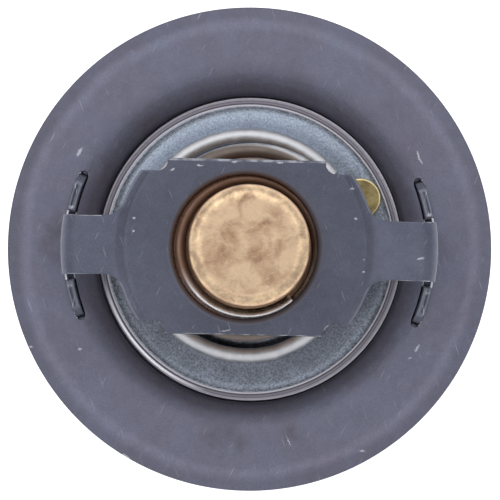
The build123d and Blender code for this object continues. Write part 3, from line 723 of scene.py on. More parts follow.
def plated_steel():
    """Zinc-plated steel, tumbled: sandy and dull in the hollow, with fine rings where the rim was drawn, and
    painted light: paler and smoother towards +Y and the rim, paler in the bend, a glint and edge highlights."""
    material, tree, shader, place = new_material("zinc_plated_steel_tumbled", Metallic=1.0)
    radius = axis_distance(tree, place)
    # painted light: paler and less speckled towards the +Y side, and paler still towards the rim there
    upper = add(tree, "VectorMath", {0: place, 1: (-0.35, 0.94, 0.0)}, output="Value",
                operation="DOT_PRODUCT")
    sand = add(tree, "TexNoise", {"Vector": place, "Scale": per_mm(0.3), "Detail": 3.0, "Roughness": 0.8})
    clouds = add(tree, "TexNoise", {"Vector": place, "Scale": per_mm(3.0), "Detail": 4.0, "Roughness": 0.65})
    drift = add(tree, "Math", {0: clouds, 1: 16.0 * MM, 2: upper}, operation="MULTIPLY_ADD")
    lit_side = add(tree, "MapRange", {0: drift, 1: 7.0 * MM, 2: 24.0 * MM})
    edge = add(tree, "MapRange", {0: radius, 1: 17.4 * MM, 2: 18.6 * MM})
    rim = add(tree, "MapRange", {0: radius, 1: 19.85 * MM, 2: 19.95 * MM})
    cloud = add(tree, "MapRange", {0: clouds, 1: 0.35, 2: 0.65})
    pale = add(tree, "MapRange", {0: lit_side, 3: 0.1, 4: 0.7})
    pale = add(tree, "Math", {0: pale, 1: edge}, operation="MULTIPLY")
    # painted light: the bend inside the rim is paler, against its shading
    bend = add(tree, "MapRange", {0: radius, 1: 18.7 * MM, 2: 19.5 * MM, 4: 0.45})
    tint = linear("#61656d")
    for share, tone in ((cloud, "#71757f"), (lit_side, "#7c8594"), (pale, "#a0a9b6"), (bend, "#a7afbc")):
        tint = add(tree, "Mix", {0: share, 6: tint, 7: linear(tone)}, 2, data_type="RGBA")
    low = add(tree, "MapRange", {0: lit_side, 3: 0.42, 4: 0.6})
    high = add(tree, "Math", {0: 2.0, 1: low}, operation="SUBTRACT")
    speckle = add(tree, "MapRange", {0: sand, 1: 0.32, 2: 0.68, 3: low, 4: high})
    tint = add(tree, "Mix", {0: 1.0, 6: tint, 7: speckle}, 2, data_type="RGBA", blend_type="MULTIPLY")
    outwards = add(tree, "CombineXYZ", {0: radius})
    rings = add(tree, "TexNoise", {"Vector": outwards, "Scale": per_mm(0.3), "Detail": 2.0})
    ring = add(tree, "MapRange", {0: rings, 1: 0.4, 2: 0.6})
    # painted reflection: a bright glint on the rim's lower left
    lower_left = side_mask(tree, place, (-0.72, -0.69, 0.0), 17.6, 20.4)
    painted_glint = add(tree, "Math", {0: radius, 1: 20.6 * MM, 2: 0.16 * MM}, operation="COMPARE")
    painted_glint = add(tree, "Math", {0: painted_glint, 1: lower_left}, operation="MULTIPLY")
    # painted highlights: thin pale lines along the rim's inner and outer edges
    inner_edge = add(tree, "Math", {0: radius, 1: 20.05 * MM, 2: 0.1 * MM}, operation="COMPARE")
    outer_edge = add(tree, "Math", {0: radius, 1: DISC_R * MM, 2: 0.14 * MM}, operation="COMPARE")
    edges = add(tree, "Math", {0: inner_edge, 1: outer_edge}, operation="MAXIMUM")
    edges = add(tree, "Math", {0: edges, 1: 0.7}, operation="MULTIPLY")
    ringed = linear("#57535b")
    for share, tone in ((ring, "#99949d"), (painted_glint, "#f2f0f6"), (edges, "#c9c6cb")):
        ringed = add(tree, "Mix", {0: share, 6: ringed, 7: linear(tone)}, 2, data_type="RGBA")
    tint = add(tree, "Mix", {0: rim, 6: tint, 7: ringed}, 2, data_type="RGBA")
    rough = add(tree, "MapRange", {0: sand, 1: 0.3, 2: 0.7, 3: 0.3, 4: 0.46})
    rough = add(tree, "Math", {0: rim, 1: 0.1, 2: rough}, operation="MULTIPLY_ADD")
    finish(tree, shader, tint, rough, sand, 0.025)
    return material


def spring_steel():
    """Drawn spring wire, pale and satin: the coils inside the big one are painted brown as a reflection of
    the brass cup and as shade, and one side of the last coil is left pale and glossier for its highlight."""
    material, tree, shader, place = new_material("drawn_spring_wire", Metallic=1.0)
    patches = add(tree, "TexNoise", {"Vector": place, "Scale": per_mm(1.5), "Detail": 4.0})
    patch = add(tree, "MapRange", {0: patches, 1: 0.35, 2: 0.7})
    tint = add(tree, "Mix", {0: patch, 6: linear("#cfced0"), 7: linear("#e4e3e4")}, 2, data_type="RGBA")
    off_axis = add(tree, "VectorMath", {0: place, 1: SPRING_LEAN * MM}, operation="SUBTRACT")
    radius = axis_distance(tree, off_axis)
    # painted reflection and shade: the inner coils are brown like the brass cup they face; the last coil's
    # low right side stays pale and glossier, where its highlight falls
    outer = add(tree, "MapRange", {0: radius, 1: 13.6 * MM, 2: 14.0 * MM})
    low_right = side_mask(tree, place, (0.2, -0.98, 0.0), 1.0, 5.0)
    last = add(tree, "MapRange", {0: radius, 1: 11.0 * MM, 2: 12.0 * MM, 3: 1.0, 4: 0.0})
    lit_side = add(tree, "Math", {0: last, 1: low_right}, operation="MULTIPLY")
    pale = add(tree, "Math", {0: outer, 1: lit_side}, operation="MAXIMUM")
    painted_brass_reflection = add(tree, "Mix", {0: last, 6: linear("#7d716a"), 7: linear("#a98b79")}, 2, data_type="RGBA")
    tint = add(tree, "Mix", {0: pale, 6: painted_brass_reflection, 7: tint}, 2, data_type="RGBA")
    rough = add(tree, "MapRange", {0: patches, 1: 0.3, 2: 0.7, 3: 0.5, 4: 0.62})
    rough = add(tree, "Math", {0: lit_side, 1: -0.28, 2: rough}, operation="MULTIPLY_ADD")
    grit = add(tree, "TexNoise", {"Vector": place, "Scale": per_mm(0.25), "Detail": 3.0})
    finish(tree, shader, tint, rough, grit, 0.005)
    return material


def cup_brass():
    """Drawn brass after tumbling and hot water: a pinkish gold skin with brown tarnish clouds, fine dents and
    scratches, its end's edge paler by wear and a painted highlight, and painted shade down its side wall."""
    material, tree, shader, place = new_material("tumbled_brass_cup", Metallic=1.0)
    radius = axis_distance(tree, place)
    clouds = add(tree, "TexNoise", {"Vector": place, "Scale": per_mm(2.6), "Detail": 5.0, "Roughness": 0.62,
                                    "Distortion": 0.4})
    middle = add(tree, "MapRange", {0: radius, 1: 1.5 * MM, 2: 6.5 * MM, 3: 0.1, 4: -0.02})
    tarnish = add(tree, "Math", {0: clouds, 1: middle}, operation="ADD")
    tarnish = add(tree, "MapRange", {0: tarnish, 1: 0.46, 2: 0.76})
    # the end's edge is paler: partly wear, partly a painted highlight on its rounding
    wear_and_highlight = add(tree, "TexNoise", {"Vector": place, "Scale": per_mm(1.8), "Detail": 4.0, "Roughness": 0.7})
    wear_and_highlight = add(tree, "MapRange", {0: wear_and_highlight, 1: 0.42, 2: 0.66})
    edge = add(tree, "MapRange", {0: radius, 1: 6.0 * MM, 2: 6.8 * MM})
    pale_edge = add(tree, "Math", {0: wear_and_highlight, 1: edge}, operation="MULTIPLY")
    # painted shade: the side wall is darker below the end, down in the narrow gap
    height_up = add(tree, "SeparateXYZ", {0: place}, output="Z")
    dark_z, unshaded_z = (CUP_END_Z - 1.2) * MM, (CUP_END_Z - 0.25) * MM
    painted_wall_shade = add(tree, "MapRange", {0: height_up, 1: dark_z, 2: unshaded_z, 3: 0.8, 4: 0.0})
    tint = linear("#c0a588")
    for share, tone in ((tarnish, "#8a6a54"), (pale_edge, "#f0d0a8"), (painted_wall_shade, "#8d6c55")):
        tint = add(tree, "Mix", {0: share, 6: tint, 7: linear(tone)}, 2, data_type="RGBA")
    dents = add(tree, "TexNoise", {"Vector": place, "Scale": per_mm(0.35), "Detail": 4.0, "Roughness": 0.7})
    speckle = add(tree, "MapRange", {0: dents, 1: 0.3, 2: 0.7, 3: 0.9, 4: 1.1})
    tint = add(tree, "Mix", {0: 1.0, 6: tint, 7: speckle}, 2, data_type="RGBA", blend_type="MULTIPLY")
    scratch = add(tree, "Math", {0: scratches(tree, place, 1.2, 0.5, 20.0),
                                 1: scratches(tree, place, 1.6, 0.5, 140.0)}, operation="MAXIMUM")
    on_end = add(tree, "MapRange", {0: painted_wall_shade, 1: 0.0, 2: 0.8, 3: 0.28, 4: 0.0})
    scratch = add(tree, "Math", {0: scratch, 1: on_end}, operation="MULTIPLY")
    tint = add(tree, "Mix", {0: scratch, 6: tint, 7: linear("#e0c3a0")}, 2, data_type="RGBA")
    rough = add(tree, "MapRange", {0: dents, 1: 0.3, 2: 0.7, 3: 0.3, 4: 0.46})
    finish(tree, shader, tint, rough, dents, 0.03)
    return material


def tarnished_brass(name, tone, shade, roughness, head=None):
    """Turned brass gone olive and brown in hot coolant, in small soft patches, and paler on its edges: on the
    head's edge, where head gives its middle, by wear and painted highlight; else rubbed bright on every
    corner."""
    material, tree, shader, place = new_material(name, Metallic=1.0)
    patches = add(tree, "TexNoise", {"Vector": place, "Scale": per_mm(1.4), "Detail": 4.0})
    patch = add(tree, "MapRange", {0: patches, 1: 0.4, 2: 0.65})
    tint = add(tree, "Mix", {0: patch, 6: linear(tone), 7: linear(shade)}, 2, data_type="RGBA")
    grit = add(tree, "TexNoise", {"Vector": place, "Scale": per_mm(0.3), "Detail": 3.0})
    if head:
        # the head's edge is paler: partly wear, partly a painted highlight
        off_axis = add(tree, "VectorMath", {0: place, 1: head}, operation="SUBTRACT")
        pale_edge = add(tree, "MapRange", {0: axis_distance(tree, off_axis), 1: (PIN_HEAD_R - 0.32) * MM,
                                      2: (PIN_HEAD_R - 0.15) * MM, 4: 0.85})
    else:
        pointed = add(tree, "NewGeometry", output="Pointiness")
        pale_edge = add(tree, "MapRange", {0: pointed, 1: 0.505, 2: 0.56, 4: 0.85})
    tint = add(tree, "Mix", {0: pale_edge, 6: tint, 7: linear("#f0dca4")}, 2, data_type="RGBA")
    rough = add(tree, "MapRange", {0: grit, 1: 0.3, 2: 0.7, 3: roughness - 0.05, 4: roughness + 0.08})
    finish(tree, shader, tint, rough, grit, 0.01)
    return material


def turned_steel(name, colour, roughness):
    """Ground or turned steel: fine even rings of tool marks along its length."""
    material, tree, shader, place = new_material(name, Metallic=1.0)
    squeezed = add(tree, "VectorMath", {0: place, 1: (0.05, 0.05, 1.0)}, operation="MULTIPLY")
    marks = add(tree, "TexNoise", {"Vector": squeezed, "Scale": per_mm(0.2), "Detail": 2.0})
    mark = add(tree, "MapRange", {0: marks, 1: 0.3, 2: 0.7, 3: 0.0, 4: 0.3})
    tint = add(tree, "Mix", {0: mark, 6: linear(colour), 7: linear("#5c5c5c")}, 2, data_type="RGBA")
    rough = add(tree, "MapRange", {0: marks, 3: roughness - 0.04, 4: roughness + 0.06})
    finish(tree, shader, tint, rough, marks, 0.004)
    return material


def moulded(name, colour, roughness, size):
    """Moulded rubber, plastic or cast wax: matt, with a slight orange-peel skin."""
    material, tree, shader, place = new_material(name, IOR=1.5)
    skin = add(tree, "TexNoise", {"Vector": place, "Scale": per_mm(size), "Detail": 3.0})
    bloom = add(tree, "MapRange", {0: skin, 1: 0.3, 2: 0.7, 3: 0.0, 4: 0.3})
    tint = add(tree, "Mix", {0: bloom, 6: linear(colour), 7: linear("#808080")}, 2, data_type="RGBA")
    rough = add(tree, "MapRange", {0: skin, 3: roughness - 0.05, 4: roughness + 0.05})
    finish(tree, shader, tint, rough, skin, 0.01)
    return material


# ---------------------------------------------------------------- visible pieces
def slot_outline(blank, side):
    """One curved slot on the flange's flat blank, by the direction of its middle in degrees."""
    half_angle = math.degrees(math.asin((SLOT_HALF - SLOT_W / 2) / SLOT_R))
    middle, half_w = blank.along(SLOT_R), SLOT_W / 2 + SLOT_EDGE_R
    outline = arc((0, 0), middle + half_w, side - half_angle, side + half_angle, 1.0)
    for end, start in ((side + half_angle, side + half_angle), (side - half_angle, side - half_angle + 180)):
        turn = math.radians(end)
        cap = arc((middle * math.cos(turn), middle * math.sin(turn)), half_w, start, start + 180, 15.0)
        outline += cap[1:-1]
        if end > side:
            outline += arc((0, 0), middle - half_w, side + half_angle, side - half_angle, 1.0)
    return outline


def flange_plate():
    """The flange: a flat plate drawn down through a curved mouth to the seat, with its rim coined."""
    throat_mid_r = THROAT_R + FLANGE_T / 2
    mid_z = FACE_Z - FLANGE_T / 2
    corner_z = DISC_FLOOR_Z - THROAT_DEPTH - SEAT_BEND_R * math.tan(math.radians(SEAT_ANGLE / 2))
    lip_z = corner_z - (throat_mid_r - SEAT_LIP_R)
    points = [(SEAT_LIP_R, lip_z), (throat_mid_r, corner_z), (throat_mid_r, mid_z - MOUTH_FOOT)] \
        + [(radius, mid_z - fall) for radius, fall, _ in reversed(MOUTH)] + [(FLANGE_R, mid_z)]
    blank = Blank(points, [SEAT_BEND_R, THROAT_BEND_R] + [bend for _, _, bend in reversed(MOUTH)], 10.0)
    rim_r = blank.reach[-1] - RIM_EDGE_R
    outline = arc((0, 0), rim_r, 0, 359, 1.0)
    holes = [arc((0, 0), blank.reach[0] + SHEET_EDGE_R, 0, 358.5, 1.5)]
    holes += [slot_outline(blank, 0.0), slot_outline(blank, 180.0)]
    # full circles up to the slots, and beyond them only between the slots
    clear, last = blank.along(SLOT_R - SLOT_W / 2 - 0.2), blank.reach[-2]
    spans = [(blank.reach[1], clear, 0, 360), (clear, last, 30, 150), (clear, last, 210, 330)]
    runs = even_rows(blank, spans)
    band = blank.along(RIM_BAND_R)
    runs += [arc((0, 0), band + over, 0, 360, 1.5) for over in (-0.15, 0.15)]

    def edges(u, v):
        """Rounding of the outer edge, of the slots and of the seat's lip."""
        reach = math.hypot(u, v)
        if reach > rim_r - 0.5:
            return (RIM_EDGE_R, RIM_EDGE_R)
        if reach > blank.reach[1] + 2.0:
            return (SLOT_EDGE_R, SLOT_EDGE_R)
        return (SHEET_EDGE_R, SHEET_EDGE_R)

    plate = pressing("flange", blank, outline, holes, runs, FLANGE_T, edges)
    for vertex in plate.data.vertices:
        x, y, z = vertex.co / MM
        over = max(0.0, math.hypot(x, y) - RIM_BAND_R) / (FLANGE_R - RIM_BAND_R)
        vertex.co.z -= RIM_FALL * over * between(z, mid_z, FACE_Z - RIM_EDGE_R) * MM
    return evened(plate)


def valve_disc():
    """The disc: a raised hub, a flat floor and an upturned rim, with a hole for the vent pin."""
    floor_z = DISC_FLOOR_Z - DISC_T / 2
    points = [(DISC_NECK_R, floor_z + HUB_RISE), (HUB_R, floor_z + HUB_RISE), (HUB_R + HUB_RISE, floor_z),
              (DISC_RIM_START_R, floor_z)]
    loop = sheet_loop(points, [HUB_BEND_R, HUB_BEND_R], DISC_T, 0.01)
    end = next(i for i, p in enumerate(loop) if p[0] > DISC_RIM_START_R - 0.02)
    back = len(loop) - next(i for i, p in enumerate(reversed(loop)) if p[0] > DISC_RIM_START_R - 0.02)
    centre = (DISC_RIM_START_R, DISC_FLOOR_Z + DISC_RIM_BEND_R)
    outer = DISC_RIM_BEND_R + DISC_T
    foot = math.degrees(math.asin((DISC_R - DISC_RIM_START_R) / outer))
    rim = arc(centre, DISC_RIM_BEND_R, 270, 270 + DISC_RIM_ANGLE, 3.0)
    rim += [(DISC_R, rim[-1][1])] + arc(centre, outer, 270 + foot, 270, 4.0)
    disc = lathe("disc", loop[:end] + rim + loop[back:], 360)
    disc = drilled(disc, arc(pin_place(), PIN_HOLE_R, 0, 350, 10), 20)
    return moved(edged(disc, DISC_EDGE_R), DISC_SHIFT)


def pin_place():
    """The vent pin's middle, in plan."""
    turn = math.radians(PIN_ANGLE)
    return (PIN_AT_R * math.cos(turn), PIN_AT_R * math.sin(turn))


def spring_point(angle):
    """A point of the wire's middle, at an angle along the wire in degrees."""
    low_z = DISC_FLOOR_Z + WIRE_R + SEAT_GAP
    high_z = COLLAR_LIP_Z - WIRE_R - SEAT_GAP
    step = (SPRING_STEP_R - SPRING_BIG_R) * between(angle, SPRING_NARROW_AT, SPRING_TAPER_AT)
    taper = (SPRING_SMALL_R - SPRING_STEP_R) * between(angle, SPRING_TAPER_AT, SPRING_FLAT_AT)
    radius = SPRING_BIG_R + step + taper
    climb = between(angle, SPRING_TAPER_AT, SPRING_FLAT_AT)
    lean = SPRING_LEAN * (1.0 - climb) + SPRING_TOP_LEAN * climb**4
    turn = math.radians(angle)
    return Vector((radius * math.cos(turn), radius * math.sin(turn),
                   low_z + (high_z - low_z) * between(angle, SPRING_RISE_AT, SPRING_FLAT_AT))) + lean


def smooth_spring_point(angle):
    """The wire's middle with its changes of slope eased over a few degrees."""
    near = [spring_point(angle + SPRING_EASE * k / 4) for k in range(-4, 5)]
    weights = [1, 2, 3, 4, 5, 4, 3, 2, 1]
    eased = sum((p * w for p, w in zip(near, weights)), Vector()) / sum(weights)
    plain = spring_point(angle)
    across = Vector((plain.x, plain.y, 0)).length / max(Vector((eased.x, eased.y, 0)).length, 1e-9)
    return Vector((eased.x * across, eased.y * across, eased.z))


def valve_spring():
    """The spring: round wire along one path, from its cut end on the disc to its cut end by the cup."""
    start = PIN_ANGLE + SPRING_TIP_CLEAR
    steps = round((SPRING_END_AT - start) / 5.0)
    angles = [start + (SPRING_END_AT - start) * i / steps for i in range(steps + 1)]
    path = [smooth_spring_point(a) for a in angles]
    around = [math.radians(15.0 * k) for k in range(24)]
    bm = bmesh.new()
    rings = []
    for i, point in enumerate(path):
        along = (path[min(i + 1, steps)] - path[max(i - 1, 0)]).normalized()
        out = Vector((point.x, point.y, 0)).normalized()
        up = along.cross(out).normalized()
        out = up.cross(along).normalized()
        for inset, back in end_rings(i, steps):
            centre = point + along * back
            wire = WIRE_R - inset
            rings.append([bm.verts.new((centre + out * wire * math.cos(a) + up * wire * math.sin(a)) * MM)
                          for a in around])
    for first, second in zip(rings, rings[1:]):
        for i in range(len(around)):
            j = (i + 1) % len(around)
            bm.faces.new((first[i], first[j], second[j], second[i]))
    bm.faces.new(rings[0])
    bm.faces.new(rings[-1])
    return evened(new_piece("spring", bm))


def end_rings(i, last):
    """Insets and setbacks of the wire's rings: the cut ends have a small broken edge."""
    if i == 0:
        return [(WIRE_EDGE, 0.0), (WIRE_EDGE / 3, WIRE_EDGE / 3), (0.0, WIRE_EDGE)]
    if i == last:
        return [(0.0, -WIRE_EDGE), (WIRE_EDGE / 3, -WIRE_EDGE / 3), (WIRE_EDGE, 0.0)]
    return [(0.0, 0.0)]


def mirrored_run(quarter):
    """A closed outline, alike on all four quarters, from its run between the Y axis and the X axis."""
    right = quarter + [(x, -y) for x, y in reversed(quarter)]
    return (right + [(-x, -y) for x, y in right])[::-1]


def yoke_outline(blank):
    """A quarter of the yoke's upper face, from the turned-down edge to the end of the foot."""
    edge = SHEET_EDGE_R
    notch_r = YOKE_NOTCH_R + edge
    notch = (YOKE_EDGE_HALF + YOKE_NOTCH_R, YOKE_SHOULDER_Y + YOKE_NOTCH_R)
    corner_r = YOKE_WING_CORNER_R - edge
    corner_y = YOKE_SHOULDER_Y - YOKE_WING_CORNER_R
    corner_x = math.sqrt((YOKE_WING_R - YOKE_WING_CORNER_R) ** 2 - corner_y**2)
    root_r = YOKE_ARM_ROOT_R + edge
    root_y = YOKE_ARM_HALF_W + YOKE_ARM_ROOT_R
    root_x = math.sqrt((YOKE_WING_R + YOKE_ARM_ROOT_R) ** 2 - root_y**2)
    corner_turn = math.degrees(math.atan2(corner_y, corner_x))
    root_turn = math.degrees(math.atan2(root_y, root_x))
    plan = [(YOKE_EDGE_HALF - edge, YOKE_HALF_W - YOKE_EDGE_BEND_R)]
    plan += arc(notch, notch_r, 180, 270, 10)
    plan += arc((corner_x, corner_y), corner_r, 90, corner_turn, 15)
    plan += arc((0, 0), YOKE_WING_R - edge, corner_turn, root_turn, 1.5)[1:-1]
    plan += arc((root_x, root_y), root_r, 180 + root_turn, 270, 10)
    laid = []
    for x, y in plan:
        stretch = blank.along(math.hypot(x, y)) / math.hypot(x, y)
        laid.append((x * stretch, y * stretch))
    first, last, side = math.hypot(*laid[-1]) + 0.3, blank.reach[-1] - edge, YOKE_ARM_HALF_W - edge
    laid += [blank.flat(first + (last - first) * i / 80, side) for i in range(81)]
    return laid + [blank.flat(last, side * (1 - i / 10)) for i in range(1, 10)]


def turned_down_edge(side):
    """The part of the yoke's stiffening edge that hangs below the plate."""
    inner, outer = YOKE_HALF_W - YOKE_T, YOKE_HALF_W
    top, low = YOKE_FACE_Z - YOKE_T, YOKE_FACE_Z - YOKE_EDGE_DEPTH
    edge = SHEET_EDGE_R
    section = [(inner, top)] + arc((inner + edge, low + edge), edge, 180, 270, 22.5) \
        + arc((outer - edge, low + edge), edge, 270, 360, 22.5) + [(outer, top)]
    bm = bmesh.new()
    ends = [[bm.verts.new((x * MM, side * y * MM, z * MM)) for y, z in section]
            for x in (-YOKE_EDGE_HALF, YOKE_EDGE_HALF)]
    bm.faces.new(ends[0])
    bm.faces.new(ends[1])
    for i in range(len(section) - 1):
        bm.faces.new((ends[0][i], ends[0][i + 1], ends[1][i + 1], ends[1][i]))
    return new_piece("edge", bm)


def yoke_edges(u, v):
    """Rounding of the yoke's edge: wide where it is turned down, small where it is sheared."""
    if abs(v) > YOKE_HALF_W - YOKE_EDGE_BEND_R - 0.01 and abs(u) < YOKE_EDGE_HALF:
        return (YOKE_EDGE_BEND_R, 0.0)
    return (YOKE_CUT_R, YOKE_CUT_R)


def spring_yoke():
    """The yoke: a dished plate with a drawn collar, turned-down edges, and arms whose legs hook under
    the flange."""
    dish_z = YOKE_FACE_Z - YOKE_T / 2
    arm_z = YOKE_TOP_Z - YOKE_T / 2
    foot_z = FACE_Z - FLANGE_T - SEAT_GAP - YOKE_T / 2
    collar_mid_r = YOKE_HOLE_R + YOKE_T / 2
    points = [(collar_mid_r, COLLAR_LIP_Z + SHEET_EDGE_R), (collar_mid_r, dish_z),
              (YOKE_DISH_R - YOKE_RAMP_W / 2, dish_z), (YOKE_DISH_R + YOKE_RAMP_W / 2, arm_z),
              (YOKE_ARM_END_R - YOKE_T / 2, arm_z), (SLOT_R, FACE_Z + YOKE_LEG_STRAIGHT_H), (SLOT_R, foot_z),
              (YOKE_FOOT_R, foot_z)]
    radii = [YOKE_COLLAR_BEND_R, YOKE_RAMP_BEND_R, YOKE_RAMP_BEND_R, YOKE_ARM_BEND_R, YOKE_LEG_BEND_R,
             YOKE_FOOT_BEND_R]
    blank = Blank(points, radii, 7.0)
    hole = arc((0, 0), blank.reach[0] + 0.001, 0, 358, 2)
    # full circles over the plate, and beyond it only across the two arms
    wide, last = blank.along(YOKE_WING_R) + 0.5, blank.reach[-1] - 0.3
    spans = [(blank.reach[1] - 0.01, wide, 0, 360), (wide, last, -15, 15), (wide, last, 165, 195)]
    outline = mirrored_run(yoke_outline(blank))
    plate = pressing("yoke_plate", blank, outline, [hole], even_rows(blank, spans), YOKE_T, yoke_edges)
    yoke = joined([plate, turned_down_edge(1), turned_down_edge(-1)], "yoke")
    for vertex in yoke.data.vertices:
        x, y, z = vertex.co / MM
        radius = math.hypot(x, y)
        in_collar = radius < YOKE_HOLE_R + YOKE_T + 0.1
        slant = 1.0 - between(z, COLLAR_LIP_Z, YOKE_FACE_Z - 0.3) if in_collar else 0.0
        form = 1.0 - between(radius, *YOKE_FORM_FADE)
        vertex.co += (YOKE_FORM_SHIFT * form + COLLAR_SLANT * slant) * MM
    return moved(yoke, YOKE_SHIFT)


def bridge_outline(blank):
    """A quarter of the bridge's outer face, from its waist out to the tip that goes through the slot."""
    edge = SHEET_EDGE_R
    plan = [tuple(p) for p, _ in bent_line(
        [(0.3, BRIDGE_WAIST_HALF - edge), (BRIDGE_WAIST_X, BRIDGE_WAIST_HALF - edge),
         (BRIDGE_SHOULDER_X, BRIDGE_SHOULDER_HALF - edge), (23.0, BRIDGE_SHOULDER_HALF - edge)],
        [BRIDGE_SIDE_R, BRIDGE_SIDE_R])]
    dense = []
    for (x0, y0), (x1, y1) in zip(plan, plan[1:]):
        count = max(1, math.ceil(math.hypot(x1 - x0, y1 - y0) / 0.7))
        dense += [(x0 + (x1 - x0) * i / count, y0 + (y1 - y0) * i / count) for i in range(count)]
    laid = []
    for x, y in dense:
        radius = math.hypot(x, y)
        if radius < blank.line[-2][0].x - 0.2:
            stretch = blank.along(radius) / radius
            laid.append((x * stretch, y * stretch))
    tip = blank.reach[-1] - edge
    chamfer_l, chamfer_w = TIP_CHAMFER

    def reach_at(z):
        """The reach at which the upright leg comes to a height."""
        return blank.reach[-1] - (FACE_Z + TIP_RISE - z)

    shoulder = reach_at(FACE_Z - FLANGE_T - SEAT_GAP) - edge
    notch = reach_at(FACE_Z - FLANGE_T - SEAT_GAP - YOKE_T - NOTCH_CLEAR) - edge

    wide, outer, inner = BRIDGE_SHOULDER_HALF - edge, TIP_HALF - edge, NOTCH_HALF + edge
    # the leg's corners, each by its reach and its side, with the number of steps to each next one
    corners = [(math.hypot(*laid[-1]) + 0.4, wide), (shoulder, wide), (shoulder, outer),
               (tip - chamfer_l, outer), (tip, outer - chamfer_w), (tip, inner), (notch, inner), (notch, 0.0)]
    for (s0, y0), (s1, y1), count in zip(corners, corners[1:], (40, 4, 8, 5, 24, 10, 10)):
        laid += [blank.flat(s0 + (s1 - s0) * i / count, y0 + (y1 - y0) * i / count) for i in range(count)]
    return laid + [blank.flat(*corners[-1])]


def outlet_bridge():
    """The bridge: a crown with the piston's socket, and two legs whose staked tips show in the slots."""
    points = [(0.0, BRIDGE_CROWN_Z - SOCKET_DEPTH), (SOCKET_R, BRIDGE_CROWN_Z - SOCKET_DEPTH),
              (SOCKET_R, BRIDGE_CROWN_Z), (BRIDGE_CROWN_R, BRIDGE_CROWN_Z), (SLOT_R, BRIDGE_KNEE_Z),
              (SLOT_R, FACE_Z + TIP_RISE)]
    radii = [SOCKET_BEND_R, SOCKET_BEND_R, BRIDGE_CROWN_BEND_R, BRIDGE_KNEE_R]
    blank = Blank(points, radii, 0.0)
    outline = mirrored_run(bridge_outline(blank))
    # full circles over the crown, and beyond it only across the two legs
    crown, last = 9.0, blank.reach[-2] + 0.1
    spans = [(0.5, crown, 0, 360), (crown, last, -50, 50), (crown, last, 130, 230)]
    tip_reach = blank.reach[-1] - 0.3

    def edges(u, v):
        return (SHEET_EDGE_R, SHEET_EDGE_R)

    def dents(u, v):
        """The groove that a chisel left along the middle of each tip."""
        reach = math.hypot(u, v)
        if reach < tip_reach:
            return 0.0
        y = abs(SLOT_R * v / reach)
        past_notch = between(y, NOTCH_HALF + 0.4, NOTCH_HALF + 0.8)
        return TIP_GROOVE_DEPTH * past_notch * between(-y, -TIP_GROOVE_END, 0.6 - TIP_GROOVE_END)

    return pressing("bridge", blank, outline, [], even_rows(blank, spans), BRIDGE_T, edges, dents)


def wax_cup():
    """The cup: drawn brass, from the crimp under the guide's flange up to the domed edge of its end."""
    collar_mid_r = COLLAR_R - CUP_WALL / 2
    wall_r = CUP_R - CUP_WALL / 2
    half = CUP_WALL / 2
    points = [(CRIMP_IN_R, CRIMP_Z + half), (collar_mid_r, CRIMP_Z + half),
              (collar_mid_r, CUP_SHOULDER_Z + half), (wall_r, CUP_SHOULDER_Z + half),
              (wall_r, CUP_END_Z - half), (0.0, CUP_END_Z - half)]
    radii = [COLLAR_BEND_R, COLLAR_BEND_R, CUP_FOOT_BEND_R, CUP_EDGE_R]
    loop = [(max(0.0, r), z) for r, z in sheet_loop(points, radii, CUP_WALL, 0.1)]
    cup = evened(lathe("cup", loop, 240))
    for vertex in cup.data.vertices:
        share = between(vertex.co.z / MM, CUP_SHOULDER_Z, CUP_END_Z)
        vertex.co += CUP_LEAN * share * MM
    return cup


def jiggle_pin():
    """The vent pin: a round head, chamfered below, on a shank with a rounded end."""
    low = DISC_FLOOR_Z + PIN_HEAD_LIFT
    top = low + PIN_HEAD_T
    edge = PIN_HEAD_EDGE
    tail = DISC_FLOOR_Z - DISC_T - PIN_TRAVEL - STOP_GAP - PIN_WEIGHT_H - PIN_TAIL
    loop = [(0.0, top), (PIN_HEAD_R - edge - 0.15, top)]
    loop += arc((PIN_HEAD_R - edge, top - edge), edge, 90, 0, 15)
    loop += [(PIN_HEAD_R, low + 0.5), (PIN_HEAD_R - 0.7, low), (PIN_SHANK_R, low)]
    loop += arc((PIN_SHANK_R - PIN_END_R, tail + PIN_END_R), PIN_END_R, 0, -90, 15) + [(0.0, tail)]
    x, y = pin_place()
    return moved(evened(lathe("pin", loop, 96)), (x, y, 0))


def dress(piece, body, node, material):
    """Puts a piece on its body, in place of its CAD node, with its finish."""
    piece.data.materials.clear()
    piece.data.materials.append(material)
    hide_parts(node)
    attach(piece, body)
    return piece


# ---------------------------------------------------------------- assembly
dress(flange_plate(), "frame", "flange_plate", flange_coat())
dress(valve_disc(), "valve", "valve_disc", plated_steel())
dress(spring_yoke(), "frame", "spring_yoke", yoke_coat())
dress(outlet_bridge(), "frame", "outlet_bridge", bridge_coat())
dress(wax_cup(), "valve", "wax_cup", cup_brass())
pin_middle = Vector((*pin_place(), 0.0)) * MM
dress(jiggle_pin(), "vent_pin", "jiggle_pin",
      tarnished_brass("tarnished_brass_pin", "#94855c", "#6b5e42", 0.34, pin_middle))
spring = dress(valve_spring(), "frame", "valve_spring", spring_steel())
# the valve's full lift is 8 mm
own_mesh(spring)

